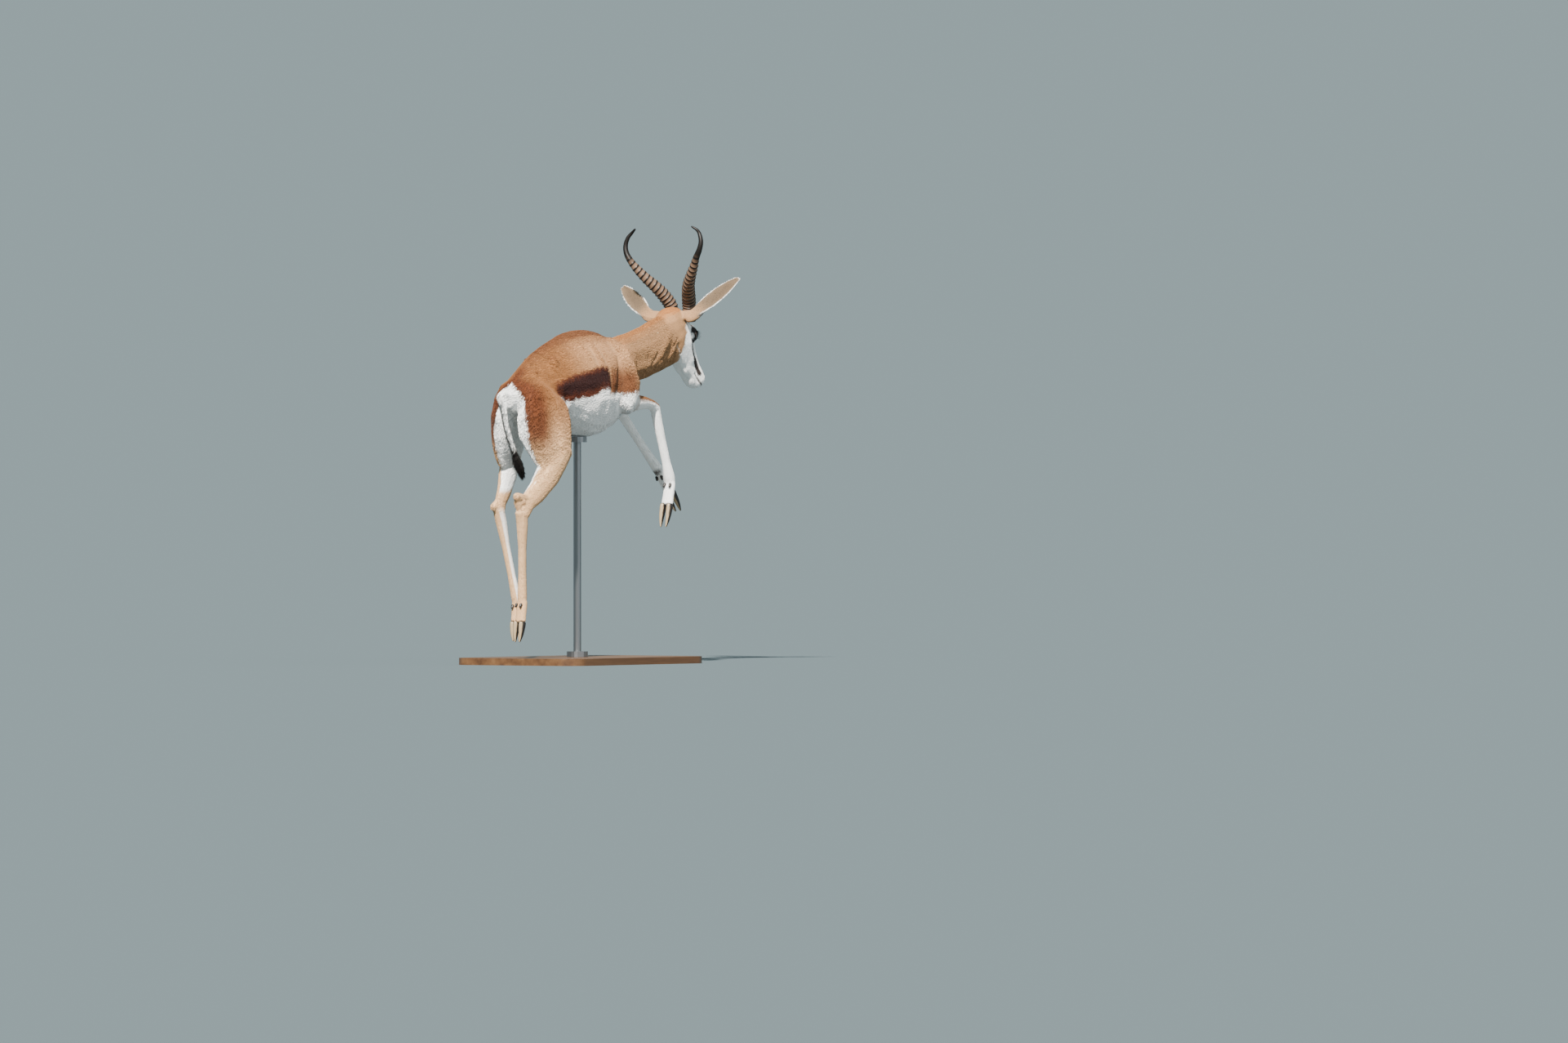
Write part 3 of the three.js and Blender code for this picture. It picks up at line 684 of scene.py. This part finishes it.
def unwrap(mesh, co, node_id):
    tri = read(mesh.loops, "vertex_index", kind=int).reshape(-1, 3)
    a, b, c = co[tri[:, 0]], co[tri[:, 1]], co[tri[:, 2]]
    n = np.cross(b - a, c - a)
    axis = np.argmax(np.abs(n), axis=1)
    sign = (np.take_along_axis(n, axis[:, None], 1)[:, 0] > 0).astype(int)
    chart = node_id[tri[:, 0]] * 6 + axis * 2 + sign
    flat = np.zeros((len(tri), 3, 2))
    for k, (u, v) in enumerate(((1, 2), (0, 2), (0, 1))):
        pick = axis == k
        flat[pick] = co[tri[pick]][:, :, [u, v]]
    boxes = []
    for i in np.unique(chart):
        pts = flat[chart == i].reshape(-1, 2)
        boxes.append((i, pts.min(0), np.ptp(pts, axis=0) + 0.006))
    boxes.sort(key=lambda item: -item[2][1])
    width = math.sqrt(sum(size[0] * size[1] for _, _, size in boxes) * 1.15)
    width = max(width, max(size[0] for _, _, size in boxes))
    cx = cy = row = 0.0
    for i, low, size in boxes:
        if cx + size[0] > width:
            cx, cy, row = 0.0, cy + row, 0.0
        flat[chart == i] += np.array([cx, cy]) - low + 0.003
        cx += size[0]
        row = max(row, size[1])
    return tri, flat / max(width, cy + row)


triangles, skin_uv = unwrap(mesh, co, node_id)
layer = mesh.uv_layers.new(name="OFBake")
layer.data.foreach_set("uv", skin_uv.astype(np.float32).ravel())

# The coat: short tapering tufts that lie along the body, with each region's hair length in millimetres
corner = [co[triangles[:, k]] for k in range(3)]
area = np.linalg.norm(np.cross(corner[1] - corner[0], corner[2] - corner[0]), axis=1) / 2
LONG = {"trunk": 11, "neck": 11, "head": 4.5, "ear": 5.5, "tail": 15}
LONG.update(zip(HIND_PARTS, (10, 7.5, 6, 4.5)))
LONG.update(zip(FORE_PARTS, (9.5, 7, 5.5, 4.5)))
PATCH = 0.003  # how much of the unwrap's side one tuft covers


def tufts(name, regions, count, width=1.9, lift=0.55, longer=1.0, chosen=None):
    """Closed tapering tufts, each of ten triangles, rooted at random on the skin of those regions."""
    share = sum(weights[:, region_names.index(r)] for r in regions)
    chance = area * share[triangles].mean(1)
    if chosen is not None:
        chance = chance * chosen[triangles].mean(1)
    total = np.cumsum(chance)
    pick = np.searchsorted(total, random.random(count) * total[-1])
    pick = np.minimum(pick, len(triangles) - 1)
    bary = random.dirichlet((1, 1, 1), count)

    def at_root(values):
        return np.einsum("ij,ijk->ik", bary, values[triangles[pick]])

    root, n, d = at_root(co), unit(at_root(normal)), unit(at_root(lie))
    here = at_root(weights)
    reach = sum(here[:, i] * LONG[r] for i, r in enumerate(region_names)) * longer
    reach = reach * random.uniform(0.7, 1.25, count) / 1000
    turn = random.normal(0, 0.16, count)[:, None]
    d = unit(d - (d * n).sum(1, keepdims=True) * n)
    side = np.cross(n, d)
    d, side = d * np.cos(turn) + side * np.sin(turn), side * np.cos(turn) - d * np.sin(turn)
    wide = (width * random.uniform(0.75, 1.2, count) / 2000 * np.clip(reach * 110, 0.5, 1.15))[:, None]
    thick = wide * 0.45
    up = (lift * random.uniform(0.7, 1.3, count) * np.clip(reach * 100, 0.45, 1.3) / 1000)[:, None]
    low = root - n * 0.0009 - d * 0.001
    mid = root + d * reach[:, None] * 0.48 + n * up * 0.9
    tip = root + d * reach[:, None] + n * up * 0.75
    root_ring = [low - side * wide, low + side * wide, low + n * thick]
    middle_ring = [mid - side * wide * 0.8, mid + side * wide * 0.8, mid + n * thick]
    points = np.stack([*root_ring, *middle_ring, tip], 1)
    walls = [(0, 1, 4), (0, 4, 3), (1, 2, 5), (1, 5, 4), (2, 0, 3), (2, 3, 5)]
    ends = [(3, 4, 6), (4, 5, 6), (5, 3, 6), (0, 2, 1)]
    base = np.array(walls + ends)
    faces = (base[None] + 7 * np.arange(count)[:, None, None]).reshape(-1, 3)
    made = bpy.data.meshes.new(name)
    made.vertices.add(7 * count)
    made.vertices.foreach_set("co", points.astype(np.float32).ravel())
    made.loops.add(faces.size)
    made.loops.foreach_set("vertex_index", faces.ravel().astype(np.int32))
    made.polygons.add(len(faces))
    made.polygons.foreach_set("loop_start", np.arange(0, faces.size, 3, dtype=np.int32))
    made.update(calc_edges=True)
    spread = random.normal(0, 2.2, (count, 3))
    tint = coat_colour(to_body(root) + spread, n, here)
    tint = tint * random.uniform(0.92, 1.07, count)[:, None]
    # Painted shade and light: each tuft is darker at its root, where the tufts shade each other, and a
    # little lighter at its tip.
    painted_root_shade = np.array([0.88, 0.88, 0.9, 0.98, 0.98, 1.02, 1.06])
    paint(made, "coat", np.clip(tint[:, None] * painted_root_shade[None, :, None], 0.003, 0.95).reshape(-1, 3))
    uv = np.einsum("ij,ijk->ik", bary, skin_uv[pick])
    spot = np.array([(-0.5, -0.5), (0.5, -0.5), (0, -0.3), (-0.4, 0.1), (0.4, 0.1), (0, 0.2), (0, 0.5)])
    where = np.clip(uv[:, None] + (spot * PATCH)[None], 0.001, 0.999).reshape(-1, 2)
    layer = made.uv_layers.new(name="OFBake")
    layer.data.foreach_set("uv", where[faces.ravel()].astype(np.float32).ravel())
    return new_piece(name, made)


share_quick = 1.0
left_half = step(body[:, 1], 0, 1)
LOWER_LEGS = ["cannon_hind", "cannon_fore", "pastern_hind", "pastern_fore"]
COATS = [
    # name, regions, tufts, and how they differ
    ("coat_trunk_left", ["trunk"], 17000, dict(chosen=left_half)),
    ("coat_trunk_right", ["trunk"], 17000, dict(chosen=1 - left_half)),
    ("coat_haunches", ["thigh", "shank"], 19500, dict()),
    ("coat_neck", ["neck"], 15000, dict()),
    ("coat_shoulders", ["shoulder", "forearm"], 14000, dict()),
    ("coat_head", ["head"], 12000, dict(width=1.1, lift=0.3, longer=0.8)),
    ("coat_legs", LOWER_LEGS, 16000, dict(width=1.2, lift=0.4)),
    ("coat_ears", ["ear"], 6000, dict(width=0.8, lift=0.35, longer=0.8)),
    ("coat_tail", ["tail"], 2500, dict(width=1.3, lift=1.2)),
]
coats = [tufts(name, regions, int(count * share_quick), **more) for name, regions, count, more in COATS]


# Materials
def material(name):
    made = bpy.data.materials.new(name)
    made.use_nodes = True
    tree = made.node_tree
    shader = tree.nodes["Principled BSDF"]

    def add(kind, links=(), **settings):
        """One node with its settings; links are (input, node, output) triples."""
        node = tree.nodes.new(kind)
        for key, value in settings.items():
            if key in node.inputs:
                node.inputs[key].default_value = value
            else:
                setattr(node, key, value)
        for into, source, out in links:
            tree.links.new(source.outputs[out], node.inputs[into])
        return node

    def into(socket, source, out):
        tree.links.new(source.outputs[out], shader.inputs[socket])

    return made, shader, add, into


def setting(shader, **values):
    for key, value in values.items():
        shader.inputs[key.replace("_", " ")].default_value = value


def ramp(add, source, out, stops):
    node = add("ShaderNodeValToRGB", [("Fac", source, out)])
    bar = node.color_ramp
    while len(bar.elements) < len(stops):
        bar.elements.new(0.5)
    for element, (place, colour) in zip(bar.elements, stops):
        element.position = place
        element.color = (*colour, 1)
    return node


def tinted(name, **finish):
    """A material coloured by its piece's own tint, with that finish."""
    made, shader, add, into = material(name)
    into("Base Color", add("ShaderNodeAttribute", attribute_name="tint"), "Color")
    setting(shader, **finish)
    return made, add, into


def one_colour(name, code, **finish):
    made, shader, _, _ = material(name)
    setting(shader, Base_Color=(*linear(code), 1), **finish)
    return made


def stretched_noise(add, scales, **settings):
    """A noise on the piece's own coordinates, finer along an axis with a larger scale."""
    coords = add("ShaderNodeTexCoord")
    stretched = add("ShaderNodeMapping", [("Vector", coords, "Object")])
    stretched.inputs["Scale"].default_value = scales
    return add("ShaderNodeTexNoise", [("Vector", stretched, "Vector")], **settings)


def bumped(add, into, noise, strength, depth):
    relief = add("ShaderNodeBump", [("Height", noise, "Fac")], Strength=strength, Distance=depth)
    into("Normal", relief, "Normal")


def grain(add, into, scale, strength, depth):
    """A fine even noise on the piece's own coordinates, as a bump."""
    coords = add("ShaderNodeTexCoord")
    fine = add("ShaderNodeTexNoise", [("Vector", coords, "Object")], Scale=scale, Detail=3.0)
    bumped(add, into, fine, strength, depth)


def coat_material(name, bump, hairs):
    """Short matt fur: the marking colours, mottled finely, with a hair-like bump."""
    made, shader, add, into = material(name)
    coords = add("ShaderNodeTexCoord")
    colour = add("ShaderNodeAttribute", attribute_name="coat")
    hair = stretched_noise(add, (hairs * 0.25, hairs, hairs * 0.6), Scale=1.0, Detail=3.0)
    patch = add("ShaderNodeTexNoise", [("Vector", coords, "Object")], Scale=38.0, Detail=2.0)
    both = add("ShaderNodeMath", [(0, hair, "Fac"), (1, patch, "Fac")], operation="ADD")
    tone = add("ShaderNodeMapRange", [("Value", both, "Value")])
    tone.inputs["From Min"].default_value = 0.7
    tone.inputs["From Max"].default_value = 1.3
    tone.inputs["To Min"].default_value = 0.93
    tone.inputs["To Max"].default_value = 1.06
    shaded = add("ShaderNodeVectorMath", [(0, colour, "Color"), (1, tone, "Result")], operation="MULTIPLY")
    into("Base Color", shaded, "Vector")
    bumped(add, into, hair, bump, 0.0012)
    setting(shader, Roughness=0.78, Specular_IOR_Level=0.22, Sheen_Weight=0.05, Sheen_Roughness=0.5)
    return made


# Flat-lying underfur on the skin: matt, with a visible hair grain of about 1 mm.
coat_skin = coat_material("short_fur_on_skin", 0.55, 900)
# The tufts' own hair: the same matt fur with a weaker and finer grain.
coat_hair = coat_material("fur_tufts", 0.25, 1200)
for piece in coats:
    finished(piece, coat_hair, "coat_fawn")
skin.data.materials.clear()
finished(skin, coat_skin, "coat_saddle", *FLESH)


# The eyes, with their lids and lashes
def eye_frame(side):
    centre = on_head(EYE_AT[0], EYE_AT[1], EYE_AT[2] * side)
    out = unit(LEFT * side * 0.95 + FORWARD * 0.22 + CROWN * 0.12)
    along = unit(FORWARD - (FORWARD @ out) * out)
    up = np.cross(out, along)
    if up @ CROWN < 0:
        up = -up
    return centre, out, along, up


def eyeballs():
    bm = bmesh.new()
    for side in (1, -1):
        made = bmesh.ops.create_uvsphere(bm, u_segments=48, v_segments=24, radius=EYE_RADIUS / 1000)
        c = to_frame(eye_frame(side)[0])
        for v in made["verts"]:
            v.co += Vector(c)
    mesh = mesh_of(bm, "eyes")
    co, n = arrays(mesh)
    body = to_body(co)
    tint = np.zeros((len(co), 3))
    for side in (1, -1):
        centre, out, along, up = eye_frame(side)
        r = body - centre
        mine = np.linalg.norm(r, axis=1) < EYE_RADIUS + 2
        u, v = r @ along, r @ up
        iris = linear("#4A2A16")[None] * (0.8 + 0.3 * np.sin(np.arctan2(v, u) * 23)[:, None] ** 2)
        colour = np.where((np.hypot(u, v) > IRIS_RADIUS)[:, None], linear("#1A110C"), iris)
        pupil = np.hypot(u / PUPIL[0], v / PUPIL[1]) < 1
        colour = np.where(pupil[:, None], linear("#050505"), colour)
        tint[mine] = colour[mine]
    paint(mesh, "tint", tint)
    return new_piece("eyes", mesh)


# The lids' opening: half its length, and its height above and below; then how far the lids reach.
OPENING = (13.6, 8.6, 7.8)
OPENING_MEAN = 8.2
LID_EDGE = 17.6
LID_DROP = 0.8
LID_SLANT = 1.28
LID_TURNS = 48


def lids():
    """Dark rims that follow each eyeball from its almond opening out into the socket."""
    bm = bmesh.new()
    turns = np.linspace(0, 2 * np.pi, LID_TURNS, endpoint=False)
    for side in (1, -1):
        centre, out, along, up = eye_frame(side)
        rings = []
        for share, radius in ((0, 16.6), (0.02, 18.4), (0.14, 19.2), (0.3, 18.8), (0.6, 18.3), (1, 17.4)):
            a = OPENING[0] + (LID_EDGE - OPENING[0]) * share
            b = np.where(np.sin(turns) > 0, OPENING[1], OPENING[2]) + (LID_EDGE - OPENING_MEAN) * share
            u, v = a * np.cos(turns), b * np.sin(turns) - LID_DROP + LID_SLANT * np.cos(turns)
            flat = np.minimum(np.hypot(u, v), radius - 0.2)
            scale = flat / np.maximum(np.hypot(u, v), 1e-6)
            u, v = u * scale, v * scale
            height = np.sqrt(radius**2 - u**2 - v**2)
            rings.append(centre + out * height[:, None] + along * u[:, None] + up * v[:, None])
        verts = [[bm.verts.new(to_frame(p)) for p in ring] for ring in rings]
        for i in range(len(verts) - 1):
            for j in range(LID_TURNS):
                k = (j + 1) % LID_TURNS
                bm.faces.new((verts[i][j], verts[i][k], verts[i + 1][k], verts[i + 1][j]))
    bmesh.ops.recalc_face_normals(bm, faces=bm.faces)
    mesh = mesh_of(bm, "eyelids")
    body = to_body(arrays(mesh)[0])
    tint = np.zeros((len(body), 3))
    for side in (1, -1):
        centre, out, along, up = eye_frame(side)
        r = body - centre
        mine = np.linalg.norm(r, axis=1) < EYE_RADIUS + 4
        outer = step(np.hypot((r @ along) / 24, (r @ up + 0.24 * (r @ along)) / 15), 1, 0.15)[:, None]
        tint[mine] = (linear("#120D0B") * (1 - outer) + WHITE * 0.8 * outer)[mine]
    paint(mesh, "tint", tint)
    return new_piece("eyelids", mesh)


THIRDS_OF_A_TURN = (0, 2.094, 4.189)


def spikes(name, roots, ways, lengths, width):
    """Thin closed hairs: a three-sided root ring, a bent middle and a tip."""
    bm = bmesh.new()
    for root, way, length in zip(roots, ways, lengths):
        way = unit(way)
        side = unit(np.cross(way, (0.3, 0.2, 1)))
        other = np.cross(way, side)
        mid = root + way * length * 0.5
        tip = root + way * length + np.array([0, 0, 1]) * length * 0.12
        rings = []
        for place, size in ((root, width), (mid, width * 0.7)):
            ring = [place + size * (math.cos(t) * side + math.sin(t) * other) for t in THIRDS_OF_A_TURN]
            rings.append([bm.verts.new(to_frame(p)) for p in ring])
        end = bm.verts.new(to_frame(tip))
        for j in range(3):
            k = (j + 1) % 3
            bm.faces.new((rings[0][j], rings[0][k], rings[1][k], rings[1][j]))
            bm.faces.new((rings[1][j], rings[1][k], end))
        bm.faces.new(rings[0][::-1])
    bmesh.ops.recalc_face_normals(bm, faces=bm.faces)
    return new_piece(name, mesh_of(bm, name))


def lashes():
    roots, ways, lengths = [], [], []
    for side in (1, -1):
        centre, out, along, up = eye_frame(side)
        for t in np.linspace(0.12, 0.88, 26) * np.pi:
            u, v = 13.8 * math.cos(t), 9 * math.sin(t)
            height = math.sqrt(18.6**2 - u * u - v * v)
            roots.append(centre + out * height + along * u + up * v)
            ways.append(out + along * (0.5 * math.cos(t) + 0.25) + up * (0.25 - 0.3 * math.sin(t)))
            lengths.append(random.uniform(8, 13))
    return spikes("lashes", roots, ways, lengths, 0.35)


# Wet glass-like eye: dark brown under a clear coat, with one small sharp glint.
clear = dict(Coat_Weight=0.4, Coat_Roughness=0.03)
wet, _, _ = tinted("glossy_eye", Roughness=0.08, Specular_IOR_Level=0.4, **clear)
finished(eyeballs(), wet, "eye", "eye_left", "eye_right")

# Bare lid skin: black and slightly moist, white where the face's hair begins.
rim, _, _ = tinted("lid_skin", Roughness=0.6, Specular_IOR_Level=0.3)
# Stiff black lash hair with a weak sheen.
lash_hair = one_colour("black_lashes", "#14100E", Roughness=0.5, Specular_IOR_Level=0.3)
finished(lids(), rim, "coat_white")
finished(lashes(), lash_hair, "coat_white")

# The horns: ringed two thirds of the way, smooth and black at the tips
HORN_SPINE = [  # the left horn's middle line from base to tip, with its radius
    (541, 27, 900, 17.5),
    (535, 31, 944, 17.5),
    (516, 42, 975, 17),
    (495, 56, 1000, 15.5),
    (476, 76, 1025, 13.5),
    (461, 97, 1052, 11),
    (450, 113, 1077, 8.5),
    (448, 125, 1099, 7),
    (450, 129, 1121, 6),
    (453, 123, 1142, 5),
    (456, 111, 1156, 3.8),
    (450, 95, 1167, 2.2),
]
HORN_LEAN = 0.035
HORN_RINGS = 20
HORN_THICKER = 1.12
HORN_STEPS = 300
HORN_AROUND = 36


def horns():
    bm = bmesh.new()
    tints = []
    for side in (1, -1):
        rows = [(x, -5 + side * y, z - HORN_LEAN * side * y, r) for x, y, z, r in HORN_SPINE]
        at, tangent = spline(rows, HORN_STEPS)
        t = np.linspace(0, 1, HORN_STEPS)
        turns = np.linspace(0, 2 * np.pi, HORN_AROUND, endpoint=False)
        slant = 0.12 * np.cos(turns)[None]
        phase = HORN_RINGS * np.clip(t / 0.7, 0, 1)[:, None] ** 0.75 + slant
        fade = (1 - step(t, 0.66, 0.12))[:, None]
        saw = phase - np.floor(phase)
        ridge = np.where(saw < 0.72, (saw / 0.72) ** 1.7, (1 - saw) / 0.28)
        radius = HORN_THICKER * at[:, 3:4] * (1.0 + fade * (0.13 * ridge**2 - 0.07))
        radius[-4:] *= np.array([0.9, 0.75, 0.5, 0.12])[:, None]
        made = swept("horn", at[:, :3], tangent, radius, np.array([0, 1.0, 0]), HORN_AROUND)
        bm.from_mesh(made)
        mark = fade * (0.05 + 0.95 * step(ridge, 0.5, 0.35)) + (1 - fade)
        tan = linear("#7A614E")
        dark = linear("#15110F")
        streak = 0.9 + 0.1 * np.sin(turns * 17)[None]
        colours = (1 - mark)[..., None] * tan + mark[..., None] * dark
        tints.append((colours * np.broadcast_to(streak, mark.shape)[..., None]).reshape(-1, 3))
    mesh = mesh_of(bm, "horns")
    paint(mesh, "tint", np.vstack(tints))
    return new_piece("horns", mesh)


# Horn sheath: hard, half-matt keratin with a grain of about 2 mm and a soft broad shine.
keratin, add, into = tinted("horn_keratin", Roughness=0.45, Specular_IOR_Level=0.22)
grain(add, into, scale=420.0, strength=0.15, depth=0.0005)
finished(horns(), keratin, "horn", "horn_left", "horn_right")

# Hooves and dewclaws
TOES = {  # each foot's fetlock and the tip of its toes
    ("hind", "left"): ((-237, 22, 108), (-250, 15, 2)),
    ("hind", "right"): ((-305, -42, 113), (-318, -38, 0)),
    ("fore", "left"): ((440, 0, 474), (508, -20, 364)),
    ("fore", "right"): ((390, -70, 446), (359, -70, 317)),
}
CLAWS = [n for n in nodes if n.startswith("claw")]
DEWCLAWS = [n for n in nodes if n.startswith("dewclaw")]


def hooves():
    whole = bmesh.new()
    tints = []
    for (end, side), (fetlock, toe) in TOES.items():
        names = [n for n in CLAWS + DEWCLAWS if n.endswith(f"{end}_{side}")]
        for name in names:
            piece = new_piece("claw_work", mesh_of(merged([name]), "claw"))
            more = piece.modifiers.new("rounder", "SUBSURF")
            more.levels = more.render_levels = 2
            fine = with_modifiers(piece)
            co, n = arrays(fine)
            way = unit(np.subtract(toe, fetlock))
            sole = unit(np.cross(way, (0, 1, 0)))
            if sole[0] > 0:
                sole = -sole
            pale = step(n @ sole, 0.62, 0.25) if name.startswith("claw") else np.zeros(len(co))
            lines = 0.5 + 0.5 * np.sin((to_body(co) @ way) * 1.1 + 0.6 * wobble(to_body(co), 6))
            wall = linear("#1D1815")[None] * (0.8 + 0.5 * lines[:, None])
            tints.append(wall * (1 - pale[:, None]) + linear("#9E8A6C") * pale[:, None])
            whole.from_mesh(fine)
            bpy.data.objects.remove(piece)
    mesh = mesh_of(whole, "hooves")
    paint(mesh, "tint", np.vstack(tints))
    return new_piece("hooves", mesh)


# Hoof wall and sole: smooth worn horn with a grain of about 3 mm and a clear shine.
horny, add, into = tinted("hoof_horn", Roughness=0.4, Specular_IOR_Level=0.45)
grain(add, into, scale=300.0, strength=0.3, depth=0.0008)
finished(hooves(), horny, "hoof", *CLAWS, *DEWCLAWS)


# The tail's black end
TAIL_LINE = np.array([(-296, -3, 552), (-284, -3, 528), (-268, -3, 500), (-258, -3, 484)], float)
TAIL_HAIRS = 520


def tail_end():
    roots, ways, lengths = [], [], []
    line = TAIL_LINE
    for _ in range(TAIL_HAIRS):
        t = random.uniform(0, 2.999)
        i = int(t)
        place = line[i] + (line[i + 1] - line[i]) * (t - i)
        way = unit(line[min(i + 1, 3)] - line[max(i - 1, 0)])
        off = random.normal(0, 1, 3)
        off = unit(off - (off @ way) * way)
        roots.append(place + off * random.uniform(1, 4.5))
        ways.append(way + off * random.uniform(0.12, 0.4))
        lengths.append(random.uniform(16, 30))
    return spikes("tail_hair", roots, ways, lengths, 0.55)


# Long coarse black hair that catches a little light along each strand.
tail_dark = one_colour("black_tail_hair", "#15100E", Roughness=0.55, Specular_IOR_Level=0.35)
finished(tail_end(), tail_dark, "tail_hair")

# The display stand: an oiled oak base and brushed steel
# Oiled oak: warm brown with long grain along the base, and a low satin shine.
oak, shader, add, into = material("oiled_oak")
rings = stretched_noise(add, (2.0, 26.0, 26.0), Scale=1.6, Detail=6.0, Roughness=0.6)
oak_browns = [(0.3, linear("#3E2817")), (0.5, linear("#553A23")), (0.7, linear("#664A2F"))]
shades = ramp(add, rings, "Fac", oak_browns)
into("Base Color", shades, "Color")
bumped(add, into, rings, 0.15, 0.001)
setting(shader, Roughness=0.42, Specular_IOR_Level=0.45)

# Brushed steel: a grey metal whose fine lines run up the rod and stretch its highlights.
steel, shader, add, into = material("brushed_steel")
lines = stretched_noise(add, (900.0, 900.0, 30.0), Scale=1.0, Detail=2.0)
bumped(add, into, lines, 0.12, 0.0004)
setting(shader, Base_Color=(*linear("#8E9093"), 1), Metallic=1.0, Roughness=0.34)

for name, finish, slot in (
    ("stand_base", oak, "stand_wood"),
    ("stand_rod", steel, "stand_metal"),
    ("stand_collar", steel, "stand_metal"),
    ("stand_saddle", steel, "stand_metal"),
):
    node = nodes[name]
    node.data.materials.clear()
    node.data.materials.append(finish)

# Floor, light and camera
BACKDROP = linear("#8E9FA2")
WORLD_LIGHT = 1.2
SUN = 13.8
FILL = 1.0
FILL_WAY = unit((0.0791, 0.7769, -0.45))
SUN_TINT = (1.0, 0.95, 0.88)
SUN_WAY = unit((0.66, 0.24, -0.7))
sky = BACKDROP * WORLD_LIGHT
floor_colour = sky / (sky + (SUN * -SUN_WAY[2] * np.array(SUN_TINT) + FILL * -FILL_WAY[2]) / math.pi)

FLOOR_REACH = 2500.0  # half the floor's side, in metres, so that no view sees its edge
corners = [(a * FLOOR_REACH, b * FLOOR_REACH, 0) for a, b in ((-1, -1), (1, -1), (1, 1), (-1, 1))]
floor_mesh = mesh_from("floor", corners, [(0, 1, 2, 3)])
floor = new_piece("floor", floor_mesh, smooth=False)
# Matt paper backdrop: no shine, and as bright in the light as the sky behind it.
paper, shader, _, _ = material("matt_floor")
setting(shader, Base_Color=(*floor_colour, 1), Roughness=1.0, Specular_IOR_Level=0.0)
floor.data.materials.append(paper)
floor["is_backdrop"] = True

world = bpy.data.worlds.new("world")
bpy.context.scene.world = world
world.use_nodes = True
background = world.node_tree.nodes["Background"]
background.inputs["Color"].default_value = (*BACKDROP, 1)
background.inputs["Strength"].default_value = WORLD_LIGHT

for name, energy, way, spread, tint in (
    ("sun", SUN, SUN_WAY, 3, SUN_TINT),
    ("fill", FILL, FILL_WAY, 70, (1.0, 1.0, 1.0)),
):
    lamp = bpy.data.lights.new(name, "SUN")
    lamp.energy = energy
    lamp.angle = math.radians(spread)
    lamp.color = tint
    light = bpy.data.objects.new(name, lamp)
    light.rotation_mode = "QUATERNION"
    light.rotation_quaternion = Vector(way).to_track_quat("-Z", "Y")
    bpy.context.scene.collection.objects.link(light)

CAMERA_TURN = math.radians(56)
CAMERA_RISE = math.radians(0.5)
CAMERA_DISTANCE = 60.0
METRES_PER_PIXEL = 0.0023
PHOTO_WIDTH = 1920
AIM_RIGHT = 0.598
AIM_UP = 0.337
right_hand = np.array([math.cos(CAMERA_TURN), -math.sin(CAMERA_TURN), 0])
ahead = np.array([math.sin(CAMERA_TURN), math.cos(CAMERA_TURN), 0])
ahead = ahead * math.cos(CAMERA_RISE) - np.array([0, 0, math.sin(CAMERA_RISE)])
target = right_hand * AIM_RIGHT + np.array([0, 0, AIM_UP]) + SHIFT / 1000
lens = bpy.data.cameras.new("camera")
lens.sensor_width = 36
lens.lens = 36 * CAMERA_DISTANCE / (PHOTO_WIDTH * METRES_PER_PIXEL)
lens.clip_start = 1.0
lens.clip_end = 6000.0
camera = bpy.data.objects.new("camera", lens)
camera.location = target - ahead * CAMERA_DISTANCE
camera.rotation_mode = "QUATERNION"
camera.rotation_quaternion = Vector(ahead).to_track_quat("-Z", "Y")
bpy.context.scene.collection.objects.link(camera)
bpy.context.scene.camera = camera

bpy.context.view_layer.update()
count = sum(len(p.data.polygons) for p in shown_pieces() if p.type == "MESH")
print("skin triangles", len(mesh.polygons), "all", count)
